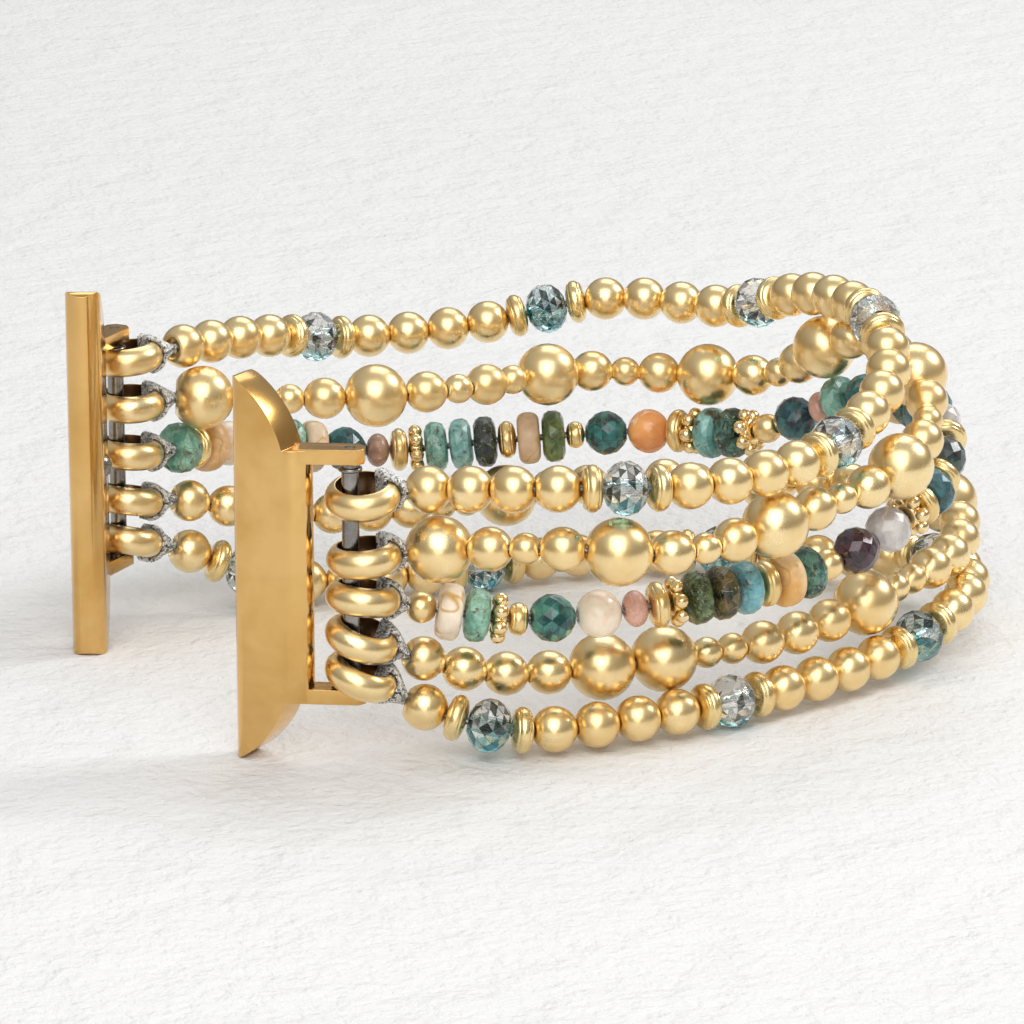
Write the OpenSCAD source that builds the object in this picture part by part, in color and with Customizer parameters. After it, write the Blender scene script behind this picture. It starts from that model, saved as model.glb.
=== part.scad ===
// Stretch bead band for a wrist watch.
// Five strands of beads on elastic cord, tied at each end to five rings that turn on a spring bar.
// Each bar is carried between the ears of an adapter, whose insert slides into a slot of the watch.
// Millimetres. The bars stand upright along Z, the strands loop out along X, and the band stands on z = 0.
// The origin lies on that floor, midway between the two bars.

/* [Adapters] */
// Height of each insert, end to end
insert_h = 34; // [32:0.5:40]
// Width of each insert across its round edges
insert_w = 7.4; // [6.6:0.1:8]
// Thickness of each insert
insert_t = 3.2; // [3:0.1:3.6]
// Radius of the curve that each end of the insert follows, down to the ear
insert_end_r = 10; // [9:0.5:13]
// How far the middle of that curve lies beyond the insert's inner edge
insert_end_in = 4; // [3:0.5:5]
// Radius of the two corners at the insert's inner edge
insert_corner_r = 1.2; // [0.8:0.1:1.6]
// How far the insert's middle lies in front of the bar
insert_ahead = 5; // [4.8:0.1:6]
// How far the insert's middle lies inward of the bar
insert_inward = 4.5; // [4.2:0.1:5.2]
// Angle between the insert and the line from bar to bar
insert_turn = 30; // [20:1:40]
// Thickness of each ear
ear_t = 1.3; // [1:0.1:1.8]
// Distance from the bar's axis to the ear's end
ear_end = 1.25; // [1.1:0.05:1.4]
// Width of each ear
ear_w = 2.3; // [2:0.1:2.6]
// Chamfer on the two corners of the ear's end
ear_chamfer = 0.6; // [0.3:0.1:0.7]
// Clear height between the two ears
ear_gap = 20; // [19:0.5:22]
// Distance between the axes of the two bars
bar_span = 46; // [44:0.5:50]

/* [Spring bars] */
// Diameter of the bar's tube
bar_d = 1.5; // [1.4:0.05:1.6]
// Diameter of the pivot at each end of the bar
pivot_d = 0.8; // [0.7:0.05:0.9]
// Wall of the tube
bar_wall = 0.22; // [0.15:0.01:0.22]
// Length of the crimp at each end of the tube
crimp_l = 0.5; // [0.3:0.1:0.8]
// Length of the shoulder that the crimp holds back
shoulder_l = 2; // [1.5:0.1:3]

/* [Latch] */
// Diameter of the latch button's nose
latch_d = 2.1; // [1.8:0.1:2.4]
// How far the nose stands out of the insert
latch_out = 0.55; // [0.3:0.05:0.6]
// Width of the flange round the button's foot
latch_flange = 0.25; // [0.2:0.05:0.4]
// Thickness of that flange
latch_flange_t = 0.7; // [0.5:0.1:0.8]
// Thickness of the lip that holds the button in
latch_lip_t = 0.4; // [0.3:0.05:0.5]
// Thickness of the floor under the button's spring
latch_floor_t = 0.6; // [0.4:0.05:0.7]

/* [Rings] */
// Outer diameter of each ring
ring_od = 6.5; // [6.1:0.1:6.8]
// Inner diameter of each ring
ring_id = 4.4; // [4.2:0.1:4.8]
// Height of each ring
ring_h = 2.6; // [2.3:0.1:2.7]

/* [Metal beads] */
// Diameter of the large round beads
large_d = 5.7; // [5.4:0.05:6]
// Diameter of the medium round beads
medium_d = 3.75; // [3.6:0.05:4]
// Diameter of the small round beads
small_d = 2.5; // [2.4:0.05:2.9]
// Diameter of the round beads of the outer strands
round_d = 3.75; // [3.6:0.05:4]
// Diameter of the grooved spacer discs
spacer_d = 4.1; // [3.8:0.1:4.3]
// Length of the grooved spacer discs
spacer_l = 1.8; // [1.6:0.05:2.2]
// Diameter of the plain gold discs among the stones
gold_disc_d = 4.1; // [3.6:0.1:4.4]
// Length of the plain gold discs
gold_disc_l = 1.7; // [1.5:0.05:2.1]
// Diameter of the daisy spacers over their petals
daisy_d = 4.4; // [4:0.1:4.8]
// Length of the daisy spacers
daisy_l = 1.4; // [1.2:0.05:1.7]
// Number of petals of a daisy spacer
daisy_petals = 10; // [8:1:14]

/* [Stone and glass beads] */
// Diameter of the faceted crystals
crystal_d = 4.7; // [4.3:0.1:4.8]
// Length of the faceted crystals
crystal_l = 3.8; // [3.6:0.05:4.2]
// Diameter of the faceted stone rounds
stone_d = 4.2; // [3.8:0.1:4.5]
// Length of the faceted stone rounds
stone_l = 4; // [3.8:0.05:4.3]
// Diameter of the stone discs
stone_disc_d = 5; // [4.5:0.1:5.2]
// Length of the stone discs
stone_disc_l = 2.25; // [2:0.05:2.6]
// Diameter of the small pink beads
pink_d = 3.2; // [2.8:0.1:3.6]
// Length of the small pink beads
pink_l = 2.2; // [2:0.05:2.6]

/* [Cord] */
// Diameter of the elastic cord
cord_d = 0.65; // [0.6:0.05:0.75]
// Diameter of the hole through each bead
hole_d = 1; // [0.95:0.05:1.2]
// Gap between one bead and the next
bead_gap = 0.1; // [0.08:0.01:0.15]
// Diameter of the sink that hides the cord's knot in each end bead
sink_d = 1.9; // [1.8:0.05:2]
// Diameter of that sink in a large end bead
sink_large_d = 3; // [2.6:0.1:3.2]
// Depth of the sinks
sink_l = 0.8; // [0.6:0.05:1]
// Room for the knot between a loop's ends and the cord
knot_room = 0.3; // [0.25:0.05:0.5]

/* [Hidden] */
$fn = 48;

// Clearances, radial for the turning and sliding fits
turn_clr = 0.05;
slide_clr = 0.06;
face_clr = 0.15;
loop_clr = 0.11;
spring_clr = 0.05;

// Levels along a bar, with the band's middle height halfway up the insert
mid_z = insert_h / 2;
ear_low_z = mid_z - ear_gap / 2;
ear_high_z = mid_z + ear_gap / 2;
bar_r = bar_d / 2;
tube_low_z = ear_low_z + face_clr;
tube_high_z = ear_high_z - face_clr;
bore_r = bar_r - bar_wall;

// Direction from the bar back to the insert's edge, along which the ears run
insert_edge_r = insert_t / 2;
ear_back = [-insert_ahead, insert_inward]
    - (insert_w / 2 - insert_edge_r) * [cos(90 + insert_turn), sin(90 + insert_turn)];
ear_turn = atan2(ear_back.y, ear_back.x);

// Rings from the top one down: tilt of the outer wall down, roll of the near side down,
// and share of the free height left below each ring. The last share is the space above the top ring.
ring_tilt_a = [-8, -4, 9, 15, 18];
ring_roll_a = [8, -2, -3, 13, 14];
ring_share_a = [0.44, 0.08, 0.05, 0.08, 0.03, 0.32];
ring_tilt_b = [-4, 0, 6, 12, 16];
ring_roll_b = [5, 0, 3, 8, 10];
ring_share_b = [0.24, 0.28, 0.25, 0.16, 0.02, 0.05];
function tilts(b) = b ? ring_tilt_b : ring_tilt_a;
function rolls(b) = b ? ring_roll_b : ring_roll_a;
function shares(b) = b ? ring_share_b : ring_share_a;

// How far a ring's middle stands out from the bar, when the bar bears on the ring's inner wall
function ring_out(tilt) =
    ring_id / 2 * cos(tilt) - ring_h / 2 * abs(sin(tilt)) - bar_r - turn_clr - roll_room;
// Room for the roll, which brings the wall a little nearer
roll_room = 0.05;
// Height above a ring's middle of its upper (side 1) or lower (side -1) rim, at a turn round its bore
function rim_point(tilt, a) = [ring_out(tilt) + ring_id / 2 * cos(a), ring_id / 2 * sin(a)];
function rim_z(b, k, side, p) =
    let (t = tilts(b)[k], r = rolls(b)[k])
    (side * ring_h / 2 - cos(r) * sin(t) * (p.x - ring_out(t)) + sin(r) * p.y) / (cos(r) * cos(t));
function rise_at(b, k, p) = rim_z(b, k + 1, 1, p) - rim_z(b, k, -1, p);
function ring_rise(b, k) = max([
    for (a = [0:15:345]) for (t = [tilts(b)[k], tilts(b)[k + 1]]) rise_at(b, k, rim_point(t, a))
]);
// The ears pass over and under the rings on the side of the insert
ear_half_turn = asin(ear_w / ring_id);
function ear_room(b, k, side) = max([
    for (a = [-1, -0.5, 0, 0.5, 1]) side * rim_z(b, k, side, rim_point(tilts(b)[k], ear_turn + a * ear_half_turn))
]);
function sum(v, i = 0) = i < len(v) ? v[i] + sum(v, i + 1) : 0;
function ring_free(b) = ear_gap - ear_room(b, 4, -1) - sum([for (k = [0:3]) ring_rise(b, k)]) - ear_room(b, 0, 1);
function ring_z(b, k) =
    k == 4 ? ear_low_z + ear_room(b, 4, -1) + ring_free(b) * shares(b)[4]
    : ring_z(b, k + 1) + ring_rise(b, k) + ring_free(b) * shares(b)[k];

// A ring's section is a D, flat in the bore and bulging outside
ring_wall = (ring_od - ring_id) / 2;
bulge_r = (ring_wall * ring_wall + ring_h * ring_h / 4) / (2 * ring_wall);

// Points of the wall that a ring's cord loop holds, outward and upward from the wall's middle
ring_mid_r = (ring_od + ring_id) / 4;
function wall_at(b, k, out, up) =
    let (t = tilts(b)[k], r = ring_mid_r + out, u = up * cos(rolls(b)[k]))
    [ring_out(t) + r * cos(t) + u * sin(t), -up * sin(rolls(b)[k]), ring_z(b, k) - r * sin(t) + u * cos(t)];

// Routes of the five cords from end a to end b, from the top strand down.
// The first and last points are where the cord enters the end beads.
end_y = bar_span / 2;
route_1 = [
    [5.5, -end_y, 23.8], [15, -33, 25], [28, -36.5, 24.5], [40.5, -34, 25], [51.5, -27, 28],
    [57, -16, 31], [58.5, -3, 30], [57.5, 9.5, 26], [50.5, 20, 25.5], [39, 25.5, 23], [27.5, 29, 22.5],
    [16.5, 27, 24.5], [5.5, end_y, 25.6]
];
route_2 = [
    [5.6, -end_y, 18.4], [14, -33.5, 20], [25, -37, 19], [38.5, -34.5, 20], [51.5, -31, 22],
    [59, -20.5, 26], [59, -8.5, 27], [58.5, 2.5, 21], [53.5, 11.5, 19.5], [43.5, 16, 20], [30.5, 14, 20.5],
    [17.5, 17.5, 20.5], [5.6, end_y, 21]
];
route_3 = [
    [5.3, -end_y, 13.5], [15.5, -28, 12], [29, -32, 13], [43.5, -31.5, 14], [55.5, -28, 18],
    [61.5, -19.5, 21.5], [61.5, -8, 21], [56.5, 3, 15.5], [51, 12.5, 14], [40, 19.5, 13], [28.5, 25.5, 12],
    [16.5, 27.5, 14], [5.6, end_y, 16]
];
route_4 = [
    [5, -end_y, 9.3], [13.5, -25, 6.5], [27, -28, 6.5], [41, -28, 6.5], [53.5, -25, 8],
    [65.5, -18.5, 9], [70, -7, 10.5], [66, 5.5, 8.5], [56.5, 15, 8], [44, 18, 8], [31.5, 18.5, 8],
    [18.5, 20.5, 8.5], [5.3, end_y, 11.3]
];
route_5 = [
    [5, -end_y, 5], [13, -28.5, 2.5], [26, -31, 2.5], [39, -30, 2.5], [52, -27.5, 3],
    [64, -22, 5], [69, -11.5, 5], [65.5, 0.5, 2.5], [55, 9, 2.5], [42.5, 14, 2.5], [29.5, 15.5, 2.5],
    [16.5, 19.5, 2.5], [5.3, end_y, 6.8]
];

// Beads of each strand from end a to end b.
// G round, D spacer disc, C crystal, L large, M medium, S small, o small gold, e gold disc, y daisy,
// t turquoise disc, k dark green disc, p peach disc, b pink bead, T teal round, P agate round, A amethyst.
function join(v, i = 0) = i < len(v) ? str(v[i], join(v, i + 1)) : "";
outer_repeat = join([for (i = [1:6]) "DCDGGGG"]);
beads_1 = str("GGGG", outer_repeat);
beads_2 = str(join([for (i = [1:7]) "LMSM"]), "LSMSM", "LMSM", "L");
beads_3 = "optyeTPbeykktepkoAPyeteTePtkpyTtbToyktyePTetpekttyebTptykPpet";
beads_4 = str("MMMMLLSSMMMLSSMMMMLSSMMMLSSMMMMLSSMMM", "MSMM");
beads_5 = str("G", outer_repeat, "DCDG");
strands = [
    [route_1, beads_1], [route_2, beads_2], [route_3, beads_3], [route_4, beads_4], [route_5, beads_5]
];

bead_lengths = [
    ["G", round_d], ["D", spacer_l], ["C", crystal_l], ["L", large_d], ["M", medium_d], ["S", small_d],
    ["o", small_d], ["e", gold_disc_l], ["y", daisy_l], ["t", stone_disc_l], ["k", stone_disc_l],
    ["p", stone_disc_l], ["b", pink_l], ["T", stone_l], ["P", stone_l], ["A", stone_l]
];
function bead_len(letter) = bead_lengths[search(letter, bead_lengths)[0]][1];

function unit(v) = v / norm(v);

// A smooth curve through the route's points, as a list of close points
curve_steps = 10;
function smooth(a, b, c, d, t) =
    b + (c - a) * t / 2 + (2 * a - 5 * b + 4 * c - d) * t * t / 2 + (3 * b - a - 3 * c + d) * t * t * t / 2;
function curve(p) = [
    for (i = [0:len(p) - 2]) for (j = [0:curve_steps - (i == len(p) - 2 ? 0 : 1)])
        smooth(p[max(i - 1, 0)], p[i], p[i + 1], p[min(i + 2, len(p) - 1)], j / curve_steps)
];
// Running length at each point, paired with the point's number
function runs(c) = [
    for (i = 0, s = 0; i < len(c); i = i + 1, s = s + norm(c[min(i, len(c) - 1)] - c[i - 1])) [s, i]
];
function total(t) = t[len(t) - 1][0];
// The point at a running length, straight on past the end
function point_at(c, t, s) =
    let (u = lookup(s, t), i = min(floor(u), len(c) - 2), step = c[i + 1] - c[i])
    c[i] + step * (u - i) + unit(step) * max(s - total(t), 0);
// Running lengths at which beads end, so that each bead's chord is as long as the bead
function next_end(c, t, s, l) = s + 2 * l - norm(point_at(c, t, s + l) - point_at(c, t, s));
function end_runs(c, t, steps) = [
    for (i = 0, s = 0; i <= len(steps); s = i < len(steps) ? next_end(c, t, s, steps[i]) : s, i = i + 1) s
];

// The loop's reach grows or shrinks until the cord is as long as its beads need
function reach(p, k) = [for (q = p) [p[0].x + (q.x - p[0].x) * k, q.y, q.z]];
function spare(p, steps, k) =
    let (c = curve(reach(p, k)), t = runs(c), e = end_runs(c, t, steps)) total(t) - e[len(steps)];
function fit_reach(p, steps, k = 1, tries = 4) =
    tries == 0 ? k
    : let (now = spare(p, steps, k), more = spare(p, steps, k + 0.01))
        fit_reach(p, steps, k - 0.01 * now / (more - now), tries - 1);

// Points where one bead ends and the next begins
function bead_steps(s) = [for (letter = s[1]) bead_len(letter) + bead_gap];
function bead_ends(s) =
    let (
        steps = bead_steps(s), c = curve(reach(s[0], fit_reach(s[0], steps))), t = runs(c)
    )
    [for (at = end_runs(c, t, steps)) point_at(c, t, at)];
ends = [for (s = strands) bead_ends(s)];

// A tube swept along points, as one closed mesh
tube_sides = 8;
function heading(p, i) = unit(p[min(i + 1, len(p) - 1)] - p[max(i - 1, 0)]);
function ring_points(p, i, r, beside) =
    let (t = heading(p, i), u = unit(cross(t, beside)), v = cross(u, t))
    [for (a = [0:tube_sides - 1]) p[i] + r * (cos(a * 360 / tube_sides) * u + sin(a * 360 / tube_sides) * v)];
module tube(p, r, beside) {
    n = tube_sides;
    last = (len(p) - 1) * n;
    polyhedron(
        points = [for (i = [0:len(p) - 1]) each ring_points(p, i, r, beside)],
        faces = [
            [for (a = [0:n - 1]) a],
            [for (a = [0:n - 1]) last + n - 1 - a],
            for (i = [0:len(p) - 2]) for (a = [0:n - 1])
                let (b = (a + 1) % n) each [[i * n + a, i * n + n + b, i * n + b], [i * n + a, i * n + n + a, i * n + n + b]]
        ]
    );
}

// Puts its child on strand k wherever the strand has that letter, with Z along the cord.
// The first and the last bead of a strand are sunk round their hole on the side of the rings.
module on_strand(k, letter) {
    last = len(strands[k][1]) - 1;
    for (i = [0:last])
        if (strands[k][1][i] == letter) {
            p = ends[k][i];
            q = ends[k][i + 1];
            d = q - p;
            translate((p + q) / 2)
                rotate([0, acos(d.z / norm(d)), atan2(d.y, d.x)])
                    if (i == 0 || i == last) difference() {
                        children();
                        mirror([0, 0, i == 0 ? 1 : 0])
                            translate([0, 0, bead_len(letter) / 2 - sink_l])
                                cylinder(d = letter == "L" ? sink_large_d : sink_d, h = sink_l + 1);
                    }
                    else children();
        }
}

hole_r = hole_d / 2;
module round_bead(d) {
    difference() {
        sphere(d = d);
        cylinder(r = hole_r, h = d + 1, center = true);
    }
}

// A disc with crowned faces, so that two discs can lean on each other where the cord bends
crown_r = 5;
module crowned_profile(r, l) {
    intersection() {
        translate([hole_r, -l / 2]) square([r - hole_r, l]);
        translate([0, l / 2 - crown_r]) circle(r = crown_r);
        translate([0, crown_r - l / 2]) circle(r = crown_r);
    }
}
module disc_bead(d, l) {
    rotate_extrude() crowned_profile(d / 2, l);
}

groove_r = 0.2;
module spacer_disc() {
    rotate_extrude() difference() {
        crowned_profile(spacer_d / 2, spacer_l);
        for (side = [-1, 1]) translate([spacer_d / 2, side * spacer_l / 7]) circle(r = groove_r);
    }
}

// Petals round a crowned hub that stands a little above them
petal_r = 0.5;
daisy_hub_r = 1.3;
module daisy_spacer() {
    petal_at = daisy_d / 2 - petal_r;
    disc_bead(2 * daisy_hub_r, daisy_l);
    linear_extrude(height = 0.8 * daisy_l, center = true) difference() {
        union() {
            circle(r = petal_at);
            for (i = [1:daisy_petals]) rotate(i * 360 / daisy_petals) translate([petal_at, 0]) circle(r = petal_r);
        }
        circle(r = (hole_r + daisy_hub_r) / 2);
    }
}

// A cut bead: rings of corners, each turned half a step from the last, round a straight hole
facet_sides = 10;
module cut_bead(profile) {
    n = facet_sides;
    m = len(profile);
    step = 360 / n;
    polyhedron(
        points = [
            for (i = [0:m - 1]) for (a = [0:n - 1])
                let (w = (a + i / 2) * step) [profile[i][0] * cos(w), profile[i][0] * sin(w), profile[i][1]]
        ],
        faces = [
            for (i = [0:m - 1]) for (a = [0:n - 1])
                let (
                    shift = i == m - 1 ? (m / 2) % n : 0,
                    low = i * n, high = ((i + 1) % m) * n,
                    b = (a + 1) % n, c = (a + shift) % n, d = (b + shift) % n
                )
                each [[low + a, high + c, low + b], [low + b, high + c, high + d]]
        ]
    );
}
hole_corner_r = hole_r / cos(180 / facet_sides);
// How far the end facets slope back, so that two cut beads can lean on each other where the cord bends
table_drop = 0.12;
crystal_table_r = 0.95;
crystal_girdle = 0.4;
module crystal() {
    cut_bead([
        [hole_corner_r, -crystal_l / 2], [crystal_table_r, table_drop - crystal_l / 2],
        [crystal_d / 2, -crystal_girdle], [crystal_d / 2, crystal_girdle],
        [crystal_table_r, crystal_l / 2 - table_drop], [hole_corner_r, crystal_l / 2]
    ]);
}
stone_table_r = 0.9;
module stone_round() {
    cut_bead([
        [hole_corner_r, -stone_l / 2], [stone_table_r, table_drop - stone_l / 2], [stone_d * 0.4, -stone_l * 0.3],
        [stone_d / 2, -stone_l * 0.08], [stone_d / 2, stone_l * 0.08], [stone_d * 0.4, stone_l * 0.3],
        [stone_table_r, stone_l / 2 - table_drop], [hole_corner_r, stone_l / 2]
    ]);
}

module gold_rounds(k, letter, d) { color("palegoldenrod") on_strand(k, letter) round_bead(d); }
module spacer_discs(k) { color("khaki") on_strand(k, "D") spacer_disc(); }
module crystals(k) { color("slategray") on_strand(k, "C") crystal(); }
module stone_discs(letter, tint) { color(tint) on_strand(2, letter) disc_bead(stone_disc_d, stone_disc_l); }
module stone_rounds(letter, tint) { color(tint) on_strand(2, letter) stone_round(); }
module gold_discs() { color("khaki") on_strand(2, "e") disc_bead(gold_disc_d, gold_disc_l); }
module daisy_spacers() { color("gold") on_strand(2, "y") daisy_spacer(); }
module pink_beads() { color("rosybrown") on_strand(2, "b") disc_bead(pink_d, pink_l); }
module cord(k) {
    p = ends[k];
    last = len(p) - 1;
    knots = [p[0] + knot_room * unit(p[1] - p[0]), p[last] - knot_room * unit(p[last] - p[last - 1])];
    color("darkgray")
        tube([knots[0], for (i = [1:last - 1]) p[i], knots[1]], cord_d / 2, [0, 0, 1]);
}

// How far the two ends of a loop stop short of the first bead's middle
leg_short = 0.2;
// Everything at an end is drawn at end a and mirrored for end b
module at_end(b) {
    if (b) mirror([0, 1, 0]) children();
    else children();
}
module at_bar() {
    translate([0, -bar_span / 2, 0]) children();
}

// Angle round the bulge of ring k's outer wall at which a straight leg from p leaves it, on side 1 or -1
loop_rim = bulge_r + cord_d / 2 + loop_clr;
loop_turn_most = 70;
loop_turn_end = 80;
function leave(b, k, p, side) =
    let (
        d = p - wall_at(b, k, ring_wall / 2 - bulge_r, 0),
        turn = atan2(d.z, d.x) + tilts(b)[k] + side * acos(min(loop_rim / norm([d.x, d.z]), 1))
    )
    side * min(side * turn, loop_turn_most);

// Points of a loop on side 1 or -1 of its ring's wall, from the outside round the edge into the bore
function loop_side(turn, side) =
    let (away = cord_d / 2 + loop_clr, half_t = ring_wall / 2, half_h = ring_h / 2)
    [
        for (a = [turn, (turn + side * loop_turn_end) / 2, side * loop_turn_end])
            [half_t - bulge_r, 0] + loop_rim * [cos(a), sin(a)],
        [-half_t - away * 0.25, side * (half_h + away * 0.95)],
        [-half_t - away * 0.9, side * (half_h + away * 0.35)],
        [-half_t - away, side * half_h * 0.4]
    ];
function turned(v) = [for (i = [len(v) - 1:-1:0]) v[i]];

// One loop of cord per ring, out of the first bead, over the edges of the ring's outer wall and through the ring.
// Neighbouring loops lie a little to either side, so that they pass each other.
module cord_loops(b) {
    color("darkgray")
        at_end(b) at_bar()
            for (k = [0:4]) {
                bead = b ? ends[k][len(ends[k]) - 1] : ends[k][0];
                wall = wall_at(b, k, 0, 0);
                away_from = unit([bead.x - wall.x, 0, bead.z - wall.z]);
                start = [bead.x, 0, bead.z] - leg_short * away_from;
                beside = (cord_d / 2 + spring_clr) * [-away_from.z, 0, away_from.x];
                lean = [0, (cord_d / 2 + spring_clr) * (k % 2 == 0 ? -1 : 1), 0];
                over = loop_side(leave(b, k, start + beside, 1), 1);
                under = loop_side(leave(b, k, start - beside, -1), -1);
                tube([
                    start + beside, for (q = concat(over, turned(under))) wall_at(b, k, q.x, q.y) + lean, start - beside
                ], cord_d / 2, [0, 1, 0]);
            }
}

// A ring with a flat bore and a bulging outer face, leaning on its bar
module ring(b, k) {
    color("gold")
        at_end(b) at_bar()
            translate([ring_out(tilts(b)[k]), 0, ring_z(b, k)])
                rotate([rolls(b)[k], tilts(b)[k], 0])
                    rotate_extrude() intersection() {
                        translate([ring_id / 2, -ring_h / 2]) square([ring_wall, ring_h]);
                        translate([ring_od / 2 - bulge_r, 0]) circle(r = bulge_r);
                    }
}

// Puts its child on the insert's middle, with X along its width and Y through its thickness, away from the wrist
module at_insert() {
    translate([-insert_ahead, -bar_span / 2 + insert_inward, mid_z]) rotate(90 + insert_turn) children();
}
// The insert from the side: as high as the ears at the bar, then along a curve to full height at the inner edge.
// The outline runs past both edges, and the round edges of the insert end it. The ears stand a little proud of it.
edge_past = 0.4;
ear_proud = 0.15;
module insert_side() {
    half_w = insert_w / 2;
    half_h = insert_h / 2;
    low_h = ear_gap + 2 * (ear_t - ear_proud);
    corner_x = half_w + edge_past - insert_corner_r;
    curve_x = half_w + insert_end_in;
    curve_z = half_h - sqrt(pow(insert_end_r, 2) - pow(curve_x - corner_x, 2));
    past = half_w + 1;
    intersection() {
        union() {
            square([2 * past, low_h], center = true);
            for (z = [-1, 1]) translate([curve_x, z * curve_z]) circle(r = insert_end_r, $fn = 96);
        }
        union() {
            translate([-past, -half_h]) square([past + corner_x, insert_h]);
            translate([-past, insert_corner_r - half_h])
                square([past + corner_x + insert_corner_r, insert_h - 2 * insert_corner_r]);
            for (z = [-1, 1]) translate([corner_x, z * (half_h - insert_corner_r)]) circle(r = insert_corner_r);
        }
    }
}
module insert() {
    intersection() {
        linear_extrude(height = insert_h, center = true) {
            square([insert_w - insert_t, insert_t], center = true);
            for (side = [-1, 1]) translate([side * (insert_w / 2 - insert_edge_r), 0]) circle(r = insert_edge_r);
        }
        rotate([90, 0, 0]) linear_extrude(height = insert_t + 1, center = true) insert_side();
    }
}
nose_r = latch_d / 2;
latch_top_y = -insert_t / 2;
flange_top = latch_top_y + latch_lip_t + spring_clr;
cavity_end = insert_t / 2 - latch_floor_t;
cavity_r = nose_r + latch_flange + slide_clr;
module latch_cavity() {
    rotate([90, 0, 0]) {
        translate([0, 0, -cavity_end]) cylinder(r = cavity_r, h = cavity_end + insert_t / 2 - latch_lip_t);
        cylinder(r = nose_r + slide_clr, h = insert_t);
    }
}
pivot_r = pivot_d / 2;
module ear(z) {
    l = norm(ear_back);
    translate([0, 0, z]) difference() {
        linear_extrude(height = ear_t) rotate(ear_turn) polygon([
            [l, -ear_w / 2], [l, ear_w / 2], [ear_chamfer - ear_end, ear_w / 2],
            [-ear_end, ear_w / 2 - ear_chamfer], [-ear_end, ear_chamfer - ear_w / 2], [ear_chamfer - ear_end, -ear_w / 2]
        ]);
        translate([0, 0, -1]) cylinder(r = pivot_r + turn_clr, h = ear_t + 2);
    }
}
module adapter(b) {
    color("goldenrod")
        at_end(b) {
            difference() {
                at_insert() insert();
                at_insert() latch_cavity();
            }
            at_bar() for (z = [ear_low_z - ear_t, ear_high_z]) ear(z);
        }
}

module latch_button(b) {
    dome_r = (nose_r * nose_r + latch_out * latch_out) / (2 * latch_out);
    color("silver")
        at_end(b) at_insert() rotate([90, 0, 0]) {
            translate([0, 0, -flange_top - latch_flange_t])
                cylinder(r = nose_r + latch_flange, h = latch_flange_t);
            intersection() {
                translate([0, 0, -flange_top - latch_flange_t])
                    cylinder(r = nose_r, h = latch_flange_t + latch_lip_t + spring_clr + latch_out);
                translate([0, 0, -latch_top_y + latch_out - dome_r]) sphere(r = dome_r);
            }
        }
}
module latch_spring(b) {
    low = -cavity_end + spring_clr;
    high = -flange_top - latch_flange_t - spring_clr;
    color("silver")
        at_end(b) at_insert() rotate([90, 0, 0]) translate([0, 0, low]) difference() {
            cylinder(r = nose_r, h = high - low);
            translate([0, 0, -1]) cylinder(r = nose_r - 0.25, h = high - low + 2);
        }
}

module bar_tube(b) {
    l = tube_high_z - tube_low_z;
    color("silver")
        at_end(b) at_bar() translate([0, 0, tube_low_z]) difference() {
            cylinder(r = bar_r, h = l);
            translate([0, 0, -1]) cylinder(r = pivot_r + slide_clr, h = l + 2);
            translate([0, 0, crimp_l]) cylinder(r = bore_r, h = l - 2 * crimp_l);
        }
}
shoulder_r = bore_r - turn_clr;
module bar_tip(b, top) {
    out = crimp_l + face_clr + ear_t;
    color("silver")
        at_end(b) at_bar() translate([0, 0, mid_z]) mirror([0, 0, top ? 0 : 1]) {
            translate([0, 0, ear_gap / 2 + ear_t - out]) cylinder(r = pivot_r, h = out);
            translate([0, 0, ear_gap / 2 + ear_t - out - shoulder_l - spring_clr])
                cylinder(r = shoulder_r, h = shoulder_l);
            translate([0, 0, ear_gap / 2 + ear_t - out - shoulder_l - spring_clr])
                cylinder(r = pivot_r, h = shoulder_l + 1);
        }
}
module bar_spring(b) {
    h = tube_high_z - tube_low_z - 2 * (crimp_l + shoulder_l + 2 * spring_clr);
    color("silver")
        at_end(b) at_bar() translate([0, 0, mid_z]) difference() {
            cylinder(r = shoulder_r, h = h, center = true);
            cylinder(r = shoulder_r - 0.12, h = h + 1, center = true);
        }
}

adapter(false);  // adapter_a
adapter(true);  // adapter_b
latch_button(false);  // latch_button_a
latch_button(true);  // latch_button_b
latch_spring(false);  // latch_spring_a
latch_spring(true);  // latch_spring_b
bar_tube(false);  // bar_tube_a
bar_tube(true);  // bar_tube_b
bar_spring(false);  // bar_spring_a
bar_spring(true);  // bar_spring_b
bar_tip(false, true);  // bar_tip_a_top
bar_tip(false, false);  // bar_tip_a_bottom
bar_tip(true, true);  // bar_tip_b_top
bar_tip(true, false);  // bar_tip_b_bottom
ring(false, 0);  // ring_a1
ring(false, 1);  // ring_a2
ring(false, 2);  // ring_a3
ring(false, 3);  // ring_a4
ring(false, 4);  // ring_a5
ring(true, 0);  // ring_b1
ring(true, 1);  // ring_b2
ring(true, 2);  // ring_b3
ring(true, 3);  // ring_b4
ring(true, 4);  // ring_b5
cord_loops(false);  // cord_loops_a
cord_loops(true);  // cord_loops_b
cord(0);  // cord_1
cord(1);  // cord_2
cord(2);  // cord_3
cord(3);  // cord_4
cord(4);  // cord_5
gold_rounds(0, "G", round_d);  // gold_rounds_1
spacer_discs(0);  // spacer_discs_1
crystals(0);  // crystals_1
gold_rounds(1, "L", large_d);  // large_rounds_2
gold_rounds(1, "M", medium_d);  // medium_rounds_2
gold_rounds(1, "S", small_d);  // small_rounds_2
gold_rounds(2, "o", small_d);  // small_rounds_3
gold_discs();  // gold_discs_3
daisy_spacers();  // daisy_spacers_3
stone_discs("t", "mediumaquamarine");  // turquoise_discs_3
stone_discs("k", "darkslategray");  // dark_green_discs_3
stone_discs("p", "peachpuff");  // peach_discs_3
pink_beads();  // pink_beads_3
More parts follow.
